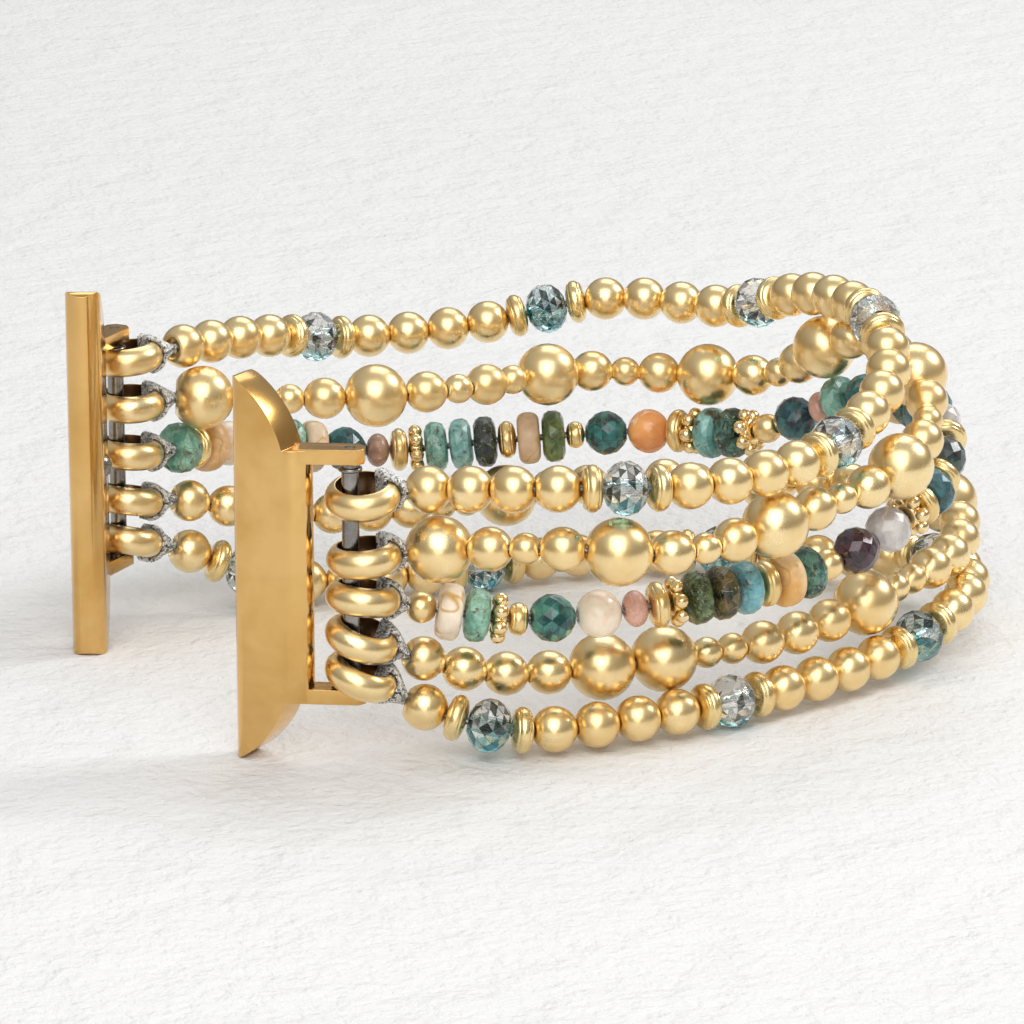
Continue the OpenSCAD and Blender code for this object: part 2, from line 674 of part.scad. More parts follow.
stone_rounds("T", "teal");  // teal_rounds_3
stone_rounds("P", "burlywood");  // agate_rounds_3
stone_rounds("A", "indigo");  // amethyst_round_3
gold_rounds(3, "L", large_d);  // large_rounds_4
gold_rounds(3, "M", medium_d);  // medium_rounds_4
gold_rounds(3, "S", small_d);  // small_rounds_4
gold_rounds(4, "G", round_d);  // gold_rounds_5
spacer_discs(4);  // spacer_discs_5
crystals(4);  // crystals_5
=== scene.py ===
"""A stretch band of five bead strands with an adapter at each end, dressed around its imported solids.

The places of the beads, rings and cords are read from the solids. Sizes are in metres, and those that the solids
don't give are written as a number of millimetres times MM.
"""
from math import acos, asin, atan2, cos, pi, radians, sin, sqrt
import bpy
import bmesh
import numpy as np
from mathutils import Matrix, Vector


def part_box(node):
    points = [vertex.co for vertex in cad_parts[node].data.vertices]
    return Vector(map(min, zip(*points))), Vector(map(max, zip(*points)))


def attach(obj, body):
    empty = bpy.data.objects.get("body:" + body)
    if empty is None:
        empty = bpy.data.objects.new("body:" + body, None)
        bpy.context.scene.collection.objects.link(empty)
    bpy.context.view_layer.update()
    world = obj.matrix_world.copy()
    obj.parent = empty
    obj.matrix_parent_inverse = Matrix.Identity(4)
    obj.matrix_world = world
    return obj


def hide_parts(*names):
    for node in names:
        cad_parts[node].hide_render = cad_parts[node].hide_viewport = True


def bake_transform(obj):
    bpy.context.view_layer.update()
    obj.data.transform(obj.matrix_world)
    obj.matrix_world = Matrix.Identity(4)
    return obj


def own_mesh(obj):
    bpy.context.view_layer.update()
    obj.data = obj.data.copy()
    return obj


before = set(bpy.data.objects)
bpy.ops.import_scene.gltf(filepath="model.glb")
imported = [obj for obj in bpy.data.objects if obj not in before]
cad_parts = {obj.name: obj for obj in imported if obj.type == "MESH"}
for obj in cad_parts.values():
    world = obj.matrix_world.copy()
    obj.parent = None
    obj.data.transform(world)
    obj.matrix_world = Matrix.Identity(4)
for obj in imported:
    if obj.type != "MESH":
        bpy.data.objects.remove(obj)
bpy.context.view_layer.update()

MM = 0.001
UP = Vector((0, 0, 1))

# ---- Camera ----
CAMERA_AT = Vector((-0.208008, -0.418415, 0.154862))
CAMERA_TURN = radians(29.5)
CAMERA_DROP = radians(16.5)
NEAR_CLIP = 0.02
SENSOR = 36
PHOTO_WIDTH = 1024
PIXELS_PER_RADIAN = 5500


def linked(name, data):
    """A new object in the scene."""
    thing = bpy.data.objects.new(name, data)
    bpy.context.scene.collection.objects.link(thing)
    return thing


def place_camera():
    """A camera at the photograph's viewing angle."""
    data = bpy.data.cameras.new("camera")
    data.sensor_width = SENSOR
    data.lens = PIXELS_PER_RADIAN / PHOTO_WIDTH * SENSOR
    data.clip_start = NEAR_CLIP
    camera = linked("camera", data)
    camera.location = CAMERA_AT
    camera.rotation_euler = pi / 2 - CAMERA_DROP, 0, -CAMERA_TURN
    bpy.context.scene.camera = camera


# ---- Node trees ----
def feed(tree, socket, value):
    """Links an output to the socket, or sets its own value. A colour is three numbers. None changes nothing."""
    if isinstance(value, bpy.types.NodeSocket):
        tree.links.new(value, socket)
    elif value is not None:
        socket.default_value = (*value, 1) if socket.type == "RGBA" else value


def add(tree, kind, values=None, **settings):
    """The outputs of a node with its settings made and its inputs fed."""
    node = tree.nodes.new(kind)
    for name, value in settings.items():
        setattr(node, name, value)
    for key, value in (values or {}).items():
        feed(tree, node.inputs[key], value)
    return node.outputs


FLOAT, INT, COLOR, OBJECT, MATERIAL, GEOMETRY = (
    "NodeSocket" + kind for kind in ("Float", "Int", "Color", "Object", "Material", "Geometry"))
SURFACE_OUTPUTS = {"Color": COLOR, "Roughness": FLOAT, "Height": FLOAT}


def new_tree(kind, name, inputs, outputs):
    """A node group and the sockets inside it. Each input has a number as its own value, or else its type."""
    tree = bpy.data.node_groups.new(name, kind)
    for label, value in inputs.items():
        number = isinstance(value, float)
        socket = tree.interface.new_socket(label, in_out="INPUT", socket_type=FLOAT if number else value)
        if number:
            socket.default_value = value
    for label, socket_type in outputs.items():
        tree.interface.new_socket(label, in_out="OUTPUT", socket_type=socket_type)
    return tree, tree.nodes.new("NodeGroupInput").outputs, tree.nodes.new("NodeGroupOutput").inputs


def put_out(tree, out, **results):
    """Links results to a group's outputs of the same names."""
    for name, value in results.items():
        tree.links.new(value, out[name])


def maths(tree, operation, a, b=None, c=None, clamp=False):
    """The result of an operation on one, two or three values."""
    values = dict(enumerate((a, b, c)))
    return add(tree, "ShaderNodeMath", values, operation=operation, use_clamp=clamp)[0]


def ranged(tree, value, low, high, to_low=0.0, to_high=1.0):
    """The value's place between low and high, on the new scale and held within it."""
    return add(tree, "ShaderNodeMapRange", {
        "Value": value, "From Min": low, "From Max": high, "To Min": to_low, "To Max": to_high,
    })[0]


def mixed(tree, share, first, second):
    """The first colour, turned into the second by the share."""
    return add(tree, "ShaderNodeMix", {0: share, 6: first, 7: second}, data_type="RGBA")[2]


def scaled(tree, vector, by):
    """A vector or colour times a number."""
    return add(tree, "ShaderNodeVectorMath", {0: vector, "Scale": by}, operation="SCALE")[0]


def noise(tree, where, scale, detail=3.0, rough=0.5, warp=0.0):
    """Noise from 0 to 1, with its scale per metre."""
    return add(tree, "ShaderNodeTexNoise", {
        "Vector": where, "Scale": scale, "Detail": detail, "Roughness": rough, "Distortion": warp,
    })[0]


def object_place(tree):
    """The place of each point of the surface."""
    return add(tree, "ShaderNodeTexCoord")["Object"]


def kept_value(tree, name):
    """A number that the mesh keeps for its faces or points."""
    return add(tree, "ShaderNodeAttribute", attribute_name=name)["Fac"]


def plating_group():
    """Plated metal: broad tone changes, duller patches and a fine grain."""
    tree, given, out = new_tree("ShaderNodeTree", "plating", {
        "Bright": COLOR, "Deep": COLOR, "Patch Scale": 300.0, "Grain Scale": 9000.0, "Bright Roughness": 0.15,
        "Dull Roughness": 0.3,
    }, SURFACE_OUTPUTS)
    where = object_place(tree)
    patch = ranged(tree, noise(tree, where, given["Patch Scale"], 4.0, 0.6, 0.4), 0.35, 0.65)
    grain = noise(tree, where, given["Grain Scale"], 2.0)
    dull = ranged(tree, patch, 0.0, 1.0, given["Bright Roughness"], given["Dull Roughness"])
    rough = maths(tree, "ADD", dull, ranged(tree, grain, 0.3, 0.7, -0.03, 0.03))
    put_out(tree, out, Color=mixed(tree, patch, given["Bright"], given["Deep"]), Roughness=rough, Height=grain)
    return tree


def turning_group():
    """Fine lines left round a bead by the lathe, added to a height."""
    tree, given, out = new_tree("ShaderNodeTree", "turning_lines", {
        "Lines": 30.0, "Height In": 0.0, "Depth": 0.5,
    }, {"Height": FLOAT})
    local = add(tree, "ShaderNodeAttribute", attribute_name="local")["Vector"]
    x, y, z = add(tree, "ShaderNodeSeparateXYZ", {"Vector": local})
    squares = maths(tree, "MULTIPLY_ADD", x, x, maths(tree, "MULTIPLY", y, y))
    where = add(tree, "ShaderNodeCombineXYZ", {"X": maths(tree, "SQRT", squares), "Y": z})[0]
    lines = noise(tree, where, given["Lines"], 3.0, 0.7)
    put_out(tree, out, Height=maths(tree, "MULTIPLY_ADD", lines, given["Depth"], given["Height In"]))
    return tree


def stone_group():
    """Polished natural stone: clouded body, patches of matrix, thin veins and small pits."""
    tree, given, out = new_tree("ShaderNodeTree", "stone", {
        "Light": COLOR, "Body": COLOR, "Matrix": COLOR, "Vein": COLOR, "Cloud Scale": 350.0, "Matrix From": 0.6,
        "Vein Width": 0.01, "Polish": 0.25, "Matrix Roughness": 0.5, "Facet Light Share": 0.0, "Speckle": 0.2,
    }, SURFACE_OUTPUTS)
    where = object_place(tree)
    # Painted light and shade: each facet's random tone shifts the cloud, so facets differ as if lit differently, over
    # the stone's own clouded colour.
    facet = maths(tree, "SUBTRACT", kept_value(tree, "facet"), 0.5)
    cloud = maths(tree, "MULTIPLY_ADD", facet, given["Facet Light Share"],
                  noise(tree, where, given["Cloud Scale"], 5.0, 0.6, 0.6))
    fine, rock, crack = (
        noise(tree, where, maths(tree, "MULTIPLY", given["Cloud Scale"], times), detail, rough, warp)
        for times, detail, rough, warp in ((9.0, 4.0, 0.65, 0.0), (2.1, 8.0, 0.68, 0.8), (0.9, 3.0, 0.55, 0.4)))
    body = mixed(tree, ranged(tree, cloud, 0.38, 0.62), given["Light"], given["Body"])
    rock_mask = ranged(tree, maths(tree, "SUBTRACT", rock, given["Matrix From"]), 0.0, 0.09)
    near = maths(tree, "ABSOLUTE", maths(tree, "SUBTRACT", crack, 0.5))
    vein_mask = maths(tree, "SUBTRACT", 1.0, maths(tree, "DIVIDE", near, given["Vein Width"]), clamp=True)
    coloured = mixed(tree, rock_mask, body, given["Matrix"])
    coloured = mixed(tree, vein_mask, coloured, given["Vein"])
    tone = ranged(tree, fine, 0.25, 0.75, maths(tree, "SUBTRACT", 1.0, given["Speckle"]),
                  maths(tree, "ADD", 1.0, given["Speckle"]))
    rough = ranged(tree, rock_mask, 0.0, 1.0, given["Polish"], given["Matrix Roughness"])
    sunk = maths(tree, "MULTIPLY_ADD", rock_mask, 0.5, maths(tree, "MULTIPLY", vein_mask, 0.3))
    height = maths(tree, "SUBTRACT", maths(tree, "MULTIPLY", fine, 0.6), sunk)
    put_out(tree, out, Color=scaled(tree, coloured, tone), Roughness=rough, Height=height)
    return tree


def thread_group():
    """Covered elastic: pale and dark fibres in short flecks."""
    tree, given, out = new_tree("ShaderNodeTree", "thread", {
        "Pale": COLOR, "Dark": COLOR, "Fleck Scale": 9000.0,
    }, SURFACE_OUTPUTS)
    where = object_place(tree)
    cells = add(tree, "ShaderNodeTexVoronoi", {"Vector": where, "Scale": given["Fleck Scale"]})
    fleck = add(tree, "ShaderNodeSeparateColor", {0: cells["Color"]})[0]
    tone = maths(tree, "MULTIPLY_ADD", fleck, 0.75, maths(tree, "MULTIPLY", noise(tree, where, 1400.0), 0.35))
    put_out(tree, out, Color=mixed(tree, ranged(tree, tone, 0.45, 0.9), given["Pale"], given["Dark"]),
            Roughness=ranged(tree, fleck, 0.0, 1.0, 0.32, 0.6),
            Height=maths(tree, "SUBTRACT", 1.0, cells["Distance"]))
    return tree


def piece_tree(name, inputs):
    """A tree that makes a piece in one finish from a mesh."""
    return new_tree("GeometryNodeTree", name, {"Geometry": GEOMETRY, **inputs, "Finish": MATERIAL},
                    {"Geometry": GEOMETRY})


def geo(tree, kind, values=None, **settings):
    """The first output of a new geometry node."""
    return add(tree, "GeometryNode" + kind, values, **settings)[0]


def end_tree(tree, given, out, body):
    """Ends a piece's tree in Realize Instances and Set Material."""
    real = geo(tree, "RealizeInstances", {"Geometry": body})
    put_out(tree, out, Geometry=geo(tree, "SetMaterial", {"Geometry": real, "Material": given["Finish"]}))
    return tree


def bead_string_tree():
    """One bead at each point, with Z along the cord, then lumps where the stone is rough."""
    tree, given, out = piece_tree("bead_string", {
        "Bead": OBJECT, "Size Spread": 0.0, "Lump Height": 0.0, "Lump Scale": 500.0, "Seed": INT,
    })
    along = geo(tree, "InputNamedAttribute", {"Name": "along"}, data_type="FLOAT_VECTOR")
    width = geo(tree, "InputNamedAttribute", {"Name": "width"}, data_type="FLOAT")
    turn, size = (
        add(tree, "FunctionNodeRandomValue", {2: low, 3: high, "Seed": given["Seed"]}, data_type="FLOAT")[1]
        for low, high in ((0.0, 2 * pi), (maths(tree, "SUBTRACT", 1.0, given["Size Spread"]), 1.0)))
    aligned = add(tree, "FunctionNodeAlignRotationToVector", {"Vector": along}, axis="Z")[0]
    spin = add(tree, "FunctionNodeAxisAngleToRotation", {"Axis": UP, "Angle": turn})[0]
    turned_bead = add(tree, "FunctionNodeRotateRotation", {"Rotation": aligned, "Rotate By": spin},
                      rotation_space="LOCAL")[0]
    across = maths(tree, "MULTIPLY", size, width)
    placed = geo(tree, "InstanceOnPoints", {
        "Points": given["Geometry"], "Instance": add(tree, "GeometryNodeObjectInfo", {0: given["Bead"]})["Geometry"],
        "Rotation": turned_bead, "Scale": add(tree, "ShaderNodeCombineXYZ", {"X": across, "Y": across, "Z": 1.0})[0],
    })
    real = geo(tree, "RealizeInstances", {"Geometry": placed})
    lump = noise(tree, geo(tree, "InputPosition"), given["Lump Scale"], 2.0)
    height = maths(tree, "MULTIPLY", maths(tree, "SUBTRACT", lump, 0.65), given["Lump Height"])
    push = scaled(tree, geo(tree, "InputNormal"), height)
    return end_tree(tree, given, out, geo(tree, "SetPosition", {"Geometry": real, "Offset": push}))


def laid_cord_tree():
    """A cord of twisted plies along each line of the mesh."""
    tree, given, out = piece_tree("laid_cord", {
        "Ply Radius": 0.1 * MM, "Ply Ring Radius": 0.1 * MM, "Plies": INT, "Ply Sides": INT, "Lay Length": MM,
        "Step": 0.1 * MM,
    })
    line = geo(tree, "MeshToCurve", {"Mesh": given["Geometry"]})
    even = geo(tree, "ResampleCurve", {"Curve": line, "Length": given["Step"]}, mode="LENGTH")
    run = add(tree, "GeometryNodeSplineParameter")["Length"]
    twist = maths(tree, "MULTIPLY", maths(tree, "DIVIDE", run, given["Lay Length"]), 2 * pi)
    twisted = geo(tree, "SetCurveTilt", {"Curve": even, "Tilt": twist})
    ring, ply = (
        geo(tree, "CurvePrimitiveCircle", {"Resolution": given[count], "Radius": given[radius]})
        for count, radius in (("Plies", "Ply Ring Radius"), ("Ply Sides", "Ply Radius")))
    plies = geo(tree, "InstanceOnPoints", {"Points": ring, "Instance": ply})
    section = geo(tree, "RealizeInstances", {"Geometry": plies})
    body = geo(tree, "CurveToMesh", {"Curve": twisted, "Profile Curve": section, "Fill Caps": True})
    return end_tree(tree, given, out, geo(tree, "SetShadeSmooth", {"Geometry": body}))


def coil_tree():
    """A helical compression spring standing on the origin."""
    tree, given, out = piece_tree("coil_spring", {
        "Turns": 8.0, "Coil Radius": MM, "Coil Height": MM, "Wire Radius": 0.1 * MM,
    })
    coil = geo(tree, "CurveSpiral", {
        "Resolution": 20, "Rotations": given["Turns"], "Start Radius": given["Coil Radius"],
        "End Radius": given["Coil Radius"], "Height": given["Coil Height"],
    })
    wire = geo(tree, "CurvePrimitiveCircle", {"Resolution": 6, "Radius": given["Wire Radius"]})
    body = geo(tree, "CurveToMesh", {"Curve": coil, "Profile Curve": wire, "Fill Caps": True})
    return end_tree(tree, given, out, body)


def grown(name, mesh, tree, values):
    """The tree run on a mesh, as a plain mesh object with no modifier left."""
    source = linked(name + "_source", mesh)
    modifier = source.modifiers.new("grow", "NODES")
    modifier.node_group = tree
    for socket in tree.interface.items_tree:
        if socket.in_out == "INPUT" and socket.name in values:
            modifier[socket.identifier] = values[socket.name]
    graph = bpy.context.evaluated_depsgraph_get()
    result = bpy.data.meshes.new_from_object(
        source.evaluated_get(graph), preserve_all_data_layers=True, depsgraph=graph)
    result.name = name
    bpy.data.objects.remove(source)
    return linked(name, result)


# ---- Reading the solids ----
def triangles(node):
    """Points of a CAD node with the doubles merged, and its triangles."""
    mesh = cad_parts[node].data
    co = np.empty(len(mesh.vertices) * 3, np.float32)
    mesh.vertices.foreach_get("co", co)
    mesh.calc_loop_triangles()
    tri = np.empty(len(mesh.loop_triangles) * 3, np.int32)
    mesh.loop_triangles.foreach_get("vertices", tri)
    grid, index = np.unique(np.round(co.reshape(-1, 3) * 1e6).astype(np.int64), axis=0, return_inverse=True)
    return grid / 1e6, index.reshape(-1)[tri].reshape(-1, 3)


def solids(node):
    """The points of each separate solid of a CAD node."""
    points, tri = triangles(node)
    label = np.arange(len(points))
    while True:
        low = label[tri].min(1)
        lower = label.copy()
        for corner in range(3):
            np.minimum.at(lower, tri[:, corner], low)
        if (lower == label).all():
            break
        label = lower
    return [points[label == value] for value in np.unique(label)]


KNOT_ROOM = 0.3 * MM
CORD_REACH = 0.9 * MM
BAR_Y = {"a": -0.023, "b": 0.023}
STRANDS_FROM_X = 5 * MM


def unit(v):
    """The vector at length 1."""
    return v / np.linalg.norm(v)


def rise_and_reach(points, middle, axis):
    """How far each point lies along an axis from its middle, and how far out from the axis."""
    rise = (points - middle) @ axis
    return rise, np.linalg.norm(points - middle - rise[:, None] * axis, axis=1)


def stations(node):
    """Points between the beads of a strand, from end a to end b: the middles of its cord's rings of corners."""
    left = triangles(node)[0]
    middles = []
    while len(left):
        near = np.linalg.norm(left - left[0], axis=1) < CORD_REACH
        middles.append(left[near].mean(0))
        left = left[~near]
    middles = np.array(middles)
    chain, here = [], np.array((STRANDS_FROM_X, BAR_Y["a"]))
    while len(middles):
        at = np.linalg.norm(middles[:, :len(here)] - here, axis=1).argmin()
        here = middles[at]
        chain.append(here)
        middles = np.delete(middles, at, 0)
    chain = np.array(chain)
    chain[0] -= KNOT_ROOM * unit(chain[1] - chain[0])
    chain[-1] += KNOT_ROOM * unit(chain[-1] - chain[-2])
    return chain


class Strand:
    """The beads of one cord: where each begins and ends."""

    def __init__(self, number):
        self.cord = f"cord_{number}"
        self.ends = stations(self.cord)
        self.middles = (self.ends[1:] + self.ends[:-1]) / 2
        self.last = len(self.middles) - 1

    def along(self, i):
        """Along the cord, and for the last bead back along it, so that an end bead's knot is at its low end."""
        step = unit(self.ends[i + 1] - self.ends[i])
        return -step if i == self.last else step

    def number_of(self, points):
        """The number, along the strand, of the bead with these points."""
        middle = (points.min(0) + points.max(0)) / 2
        return int(np.linalg.norm(self.middles - middle, axis=1).argmin())

    def numbers(self, node):
        """The numbers of a CAD node's beads, along the strand."""
        return sorted(self.number_of(points) for points in solids(node))

    def size(self, node):
        """Diameter and length of a CAD node's beads, measured on one that isn't at an end."""
        for points in solids(node):
            i = self.number_of(points)
            if i not in (0, self.last):
                rise, out = rise_and_reach(points, self.middles[i], self.along(i))
                return 2 * out.max(), rise.max() - rise.min()


class Ring:
    """A ring's middle, axis and sizes. Its outer face is an arc of radius bulge, centred at radius bulge_at."""

    def __init__(self, node):
        points = triangles(node)[0]
        middle = points.mean(0)
        vectors = np.linalg.eigh(np.cov((points - middle).T))[1]
        self.axis = vectors[:, 0] * (1 if vectors[2, 0] > 0 else -1)
        rise, out = rise_and_reach(points, middle, self.axis)
        self.middle = middle + self.axis * (rise.max() + rise.min()) / 2
        self.inner, self.outer, self.height = out.min(), out.max(), rise.max() - rise.min()
        wall = self.outer - self.inner
        self.bulge = (wall ** 2 + self.height ** 2 / 4) / (2 * wall)
        self.bulge_at = self.outer - self.bulge


# ---- Shapes, most of them for a bead of radius r and half length h ----
def keep_values(mesh, name, values, domain="POINT", kind="FLOAT"):
    """Keeps a value for each point or face of a mesh."""
    field = "vector" if kind == "FLOAT_VECTOR" else "value"
    mesh.attributes.new(name, kind, domain).data.foreach_set(field, np.ravel(values).astype(np.float32))


def finished_mesh(bm, name, smooth):
    """The bmesh as a mesh with outward normals, which keeps each point's own place in millimetres."""
    bmesh.ops.recalc_face_normals(bm, faces=bm.faces)
    mesh = bpy.data.meshes.new(name)
    bm.to_mesh(mesh)
    bm.free()
    mesh.polygons.foreach_set("use_smooth", [smooth] * len(mesh.polygons))
    co = np.empty(len(mesh.vertices) * 3, np.float32)
    mesh.vertices.foreach_get("co", co)
    keep_values(mesh, "local", co / MM, kind="FLOAT_VECTOR")
    return mesh


def turn_profile(bm, profile, sides, half_steps=False):
    """A closed profile of radius and height turned about Z. With half steps each row of corners is turned half a
    side from the last, and the faces are triangles."""
    rows = []
    for row, (r, z) in enumerate(profile):
        shift = row / 2 if half_steps else 0
        angles = [(i + shift) * 2 * pi / sides for i in range(sides)]
        rows.append([bm.verts.new((r * cos(a), r * sin(a), z)) for a in angles])
    for row in range(len(rows)):
        low, high = rows[row], rows[(row + 1) % len(rows)]
        wrap = len(rows) // 2 if half_steps and row == len(rows) - 1 else 0
        for i in range(sides):
            j = (i + 1) % sides
            a, b, c, d = low[i], low[j], high[(i + wrap) % sides], high[(j + wrap) % sides]
            for face in ((a, b, c), (b, d, c)) if half_steps else ((a, b, d, c),):
                bm.faces.new(face)
    return bm


HOLE_R = 0.5 * MM
HOLE_LIP = 0.09 * MM
BEAD_GAP = 0.04 * MM
SINK_DEPTH, SINK_MOST, SINK_SHARE = 0.8 * MM, 3 * MM, 0.52
FACET_ANGLE = radians(6)
ROUND_SIDES = 28
FACET_TONES = np.random.default_rng(7)


def turned_mesh(name, profile, sides=ROUND_SIDES):
    """A smooth mesh of a closed profile turned about Z."""
    return finished_mesh(turn_profile(bmesh.new(), profile, sides), name, True)


def below(rows):
    """Rows mirrored in the middle plane and reversed."""
    return [(r, -z) for r, z in reversed(rows)]


def mirrored(half, shared=False):
    """A profile from its low face over its rim to its high face. A shared first row is on the middle plane."""
    return below(half[1:] if shared else half) + half


def hole_edge(r, z):
    """The rounded edge where an upper face at height z meets a hole of radius r."""
    return [(r + HOLE_LIP, z), (r + HOLE_LIP * 0.4, z - HOLE_LIP * 0.2), (r, z - HOLE_LIP * 0.8)]


def round_bead(d, room, sunk=False):
    """A round bead with small flat faces and rounded hole edges. An end bead is sunk at its low end for the knot."""
    r, half_room = d / 2, (room - BEAD_GAP) / 2
    face_z = min(half_room, sqrt(r ** 2 - (HOLE_R + HOLE_LIP) ** 2))
    top = acos(face_z / r)
    sink_r, sink_z = min(SINK_SHARE * d, SINK_MOST) / 2, SINK_DEPTH - r
    low = asin((sink_r + HOLE_LIP) / r) if sunk else top
    arc = np.linspace(low - pi / 2, pi / 2 - top, 14)
    profile = [(r * cos(t), r * sin(t)) for t in arc] + hole_edge(HOLE_R, face_z)
    if sunk:
        profile += [(HOLE_R, sink_z + 0.1 * MM), (HOLE_R + 0.1 * MM, sink_z), (sink_r - 0.1 * MM, sink_z)]
        profile += below(hole_edge(sink_r, r * cos(low))[1:])
    else:
        profile += below(hole_edge(HOLE_R, face_z))
        profile = [(p, z * half_room / face_z) for p, z in profile]
    return turned_mesh("round_bead", profile)


def pebble(r, h):
    """A smooth bead, round from end to end."""
    top = asin((HOLE_R + 0.08 * MM) / r)
    half = [(r * cos(t), h * sin(t)) for t in np.linspace(0, pi / 2 - top, 9)]
    half += [(HOLE_R, h * cos(top) - 0.08 * MM)]
    return turned_mesh("pebble", mirrored(half, shared=True))


def ridged_disc(r, h):
    """A disc with a full, round rim, a groove beside it and a face that slopes up to the hub."""
    half = [
        (r, 0.0), (0.99 * r, 0.2 * h), (0.965 * r, 0.36 * h), (0.935 * r, 0.44 * h), (0.9 * r, 0.48 * h),
        (0.885 * r, 0.52 * h), (0.892 * r, 0.57 * h), (0.865 * r, 0.66 * h), (0.79 * r, 0.78 * h),
        (0.66 * r, 0.88 * h), (0.5 * r, 0.96 * h), (0.38 * r, h), (HOLE_R + 0.1 * MM, h), (HOLE_R, h - 0.1 * MM),
    ]
    return turned_mesh("ridged_disc", mirrored(half, shared=True))


def daisy(r, h):
    """A row of balls round a pierced, stepped core."""
    bm = bmesh.new()
    ball, balls = 0.68 * MM, 7
    core = r - 1.4 * ball
    turn_profile(bm, mirrored([
        (core, 0.45 * h), (core - 0.15 * MM, 0.8 * h), (core - 0.35 * MM, 0.84 * h), (HOLE_R + 0.12 * MM, h),
        (HOLE_R, 0.9 * h),
    ]), 21)
    for i in range(balls):
        a = i * 2 * pi / balls
        at = Matrix.Translation(((r - ball) * cos(a), (r - ball) * sin(a), 0))
        bmesh.ops.create_icosphere(bm, subdivisions=2, radius=ball, matrix=at)
    return finished_mesh(bm, "daisy", True)


def cut_bead(profile, sides, edge):
    """A bead cut in rows of flat facets, with its sharp edges just broken."""
    bm = turn_profile(bmesh.new(), profile, sides, half_steps=True)
    sharp = [e for e in bm.edges if e.calc_face_angle(0) > FACET_ANGLE
             and max(v.co.xy.length for v in e.verts) > 0.8 * MM]
    bmesh.ops.bevel(bm, geom=sharp, offset=edge, segments=1, affect="EDGES", clamp_overlap=True)
    mesh = finished_mesh(bm, "cut_bead", False)
    # Each face gets a random tone, which the crystal and stone materials use to paint light and shade from facet to
    # facet.
    keep_values(mesh, "facet", FACET_TONES.random(len(mesh.polygons)), domain="FACE")
    return mesh


def crystal(r, h):
    """A glass bead with small facets and hardly broken edges."""
    return cut_bead(mirrored([
        (r, 0.17 * h), (0.9 * r, 0.5 * h), (0.66 * r, 0.8 * h), (0.36 * r, 0.98 * h), (HOLE_R, 0.98 * h),
    ]), 12, 0.02 * MM)


def cut_round(r, h):
    """A round stone cut in broad facets."""
    return cut_bead(mirrored([
        (r, 0.16 * h), (0.88 * r, 0.5 * h), (0.62 * r, 0.8 * h), (HOLE_R + 0.25 * MM, 0.97 * h), (HOLE_R, 0.97 * h),
    ]), 11, 0.05 * MM)


def cut_disc(r, h):
    """A stone disc with a faceted rim and worn edges."""
    return cut_bead(mirrored([
        (r, 0.3 * h), (0.9 * r, 0.68 * h), (0.66 * r, 0.9 * h), (HOLE_R, 0.92 * h),
    ]), 13, 0.09 * MM)


def smooth_disc(r, h):
    """A tumbled disc with full, round edges."""
    half = [(r - 0.42 * r * (1 - cos(t) ** 0.7), 0.94 * h * sin(t) ** 0.8) for t in np.linspace(0, pi / 2, 9)]
    half += [(HOLE_R + 0.5 * MM, h * 0.95), (HOLE_R, h * 0.85)]
    return turned_mesh("smooth_disc", mirrored(half, shared=True), 30)


# ---- Finishes ----
PLATING, TURNING, STONE, THREAD = plating_group(), turning_group(), stone_group(), thread_group()
BEAD_STRING, LAID_CORD, COIL = bead_string_tree(), laid_cord_tree(), coil_tree()


def new_material(name):
    """A material and its node tree."""
    material = bpy.data.materials.new(name)
    material.use_nodes = True
    return material, material.node_tree


def placed_group(tree, group, values):
    """The outputs, by name, of a group placed in a material."""
    return dict(add(tree, "ShaderNodeGroup", values, node_tree=group).items())


def shade(tree, height, depth, values):
    """Feeds the sockets of a material's shader, and bumps it by a height."""
    bump = add(tree, "ShaderNodeBump", {"Height": height, "Strength": 1.0, "Distance": depth})[0]
    for name, value in {**values, "Normal": bump}.items():
        feed(tree, tree.nodes["Principled BSDF"].inputs[name], value)


def tinted(tree, stops):
    """A colour for each bead, from its own tint."""
    ramp = tree.nodes.new("ShaderNodeValToRGB")
    feed(tree, ramp.inputs["Fac"], kept_value(tree, "tint"))
    for stop, place, colour in zip(ramp.color_ramp.elements, (0.0, 1.0), (stops[0], stops[-1])):
        stop.position, stop.color = place, (*colour, 1)
    for i, colour in enumerate(stops[1:-1], 1):
        ramp.color_ramp.elements.new(i / (len(stops) - 1)).color = (*colour, 1)
    return ramp.outputs[0]


def surfaced(name, group, values, depth, sockets, lines=0.0, bore=None):
    """A material whose colour, roughness and bump come from a surface group. A list of colours follows the beads'
    tints, lines adds turning lines, and bore is a painted shade colour, mixed in where the mesh marks a bore."""
    material, tree = new_material(name)
    surface = placed_group(tree, group, {
        label: tinted(tree, value) if isinstance(value, list) else value for label, value in values.items()})
    if lines:
        surface |= placed_group(tree, TURNING, {"Lines": 14.0, "Height In": surface["Height"], "Depth": lines})
    if bore:
        # Painted shade: inside a ring's bore the colour turns to a dark brown, standing in for the shade there.
        surface["Color"] = mixed(tree, kept_value(tree, "bore"), surface["Color"], bore)
    shade(tree, surface["Height"], depth, {
        "Base Color": surface["Color"], "Roughness": surface["Roughness"], **sockets})
    return material


def plated(name, bright, deep, polish, dull, depth, grain=9000.0, patches=260.0, coat=0.0, lines=0.0, bore=None):
    """Plated or polished metal."""
    return surfaced(name, PLATING, {
        "Bright": bright, "Deep": deep, "Patch Scale": patches, "Grain Scale": grain,
        "Bright Roughness": polish, "Dull Roughness": dull,
    }, depth, {"Metallic": 1.0, "Coat Weight": coat, "Coat Roughness": 0.03}, lines, bore)


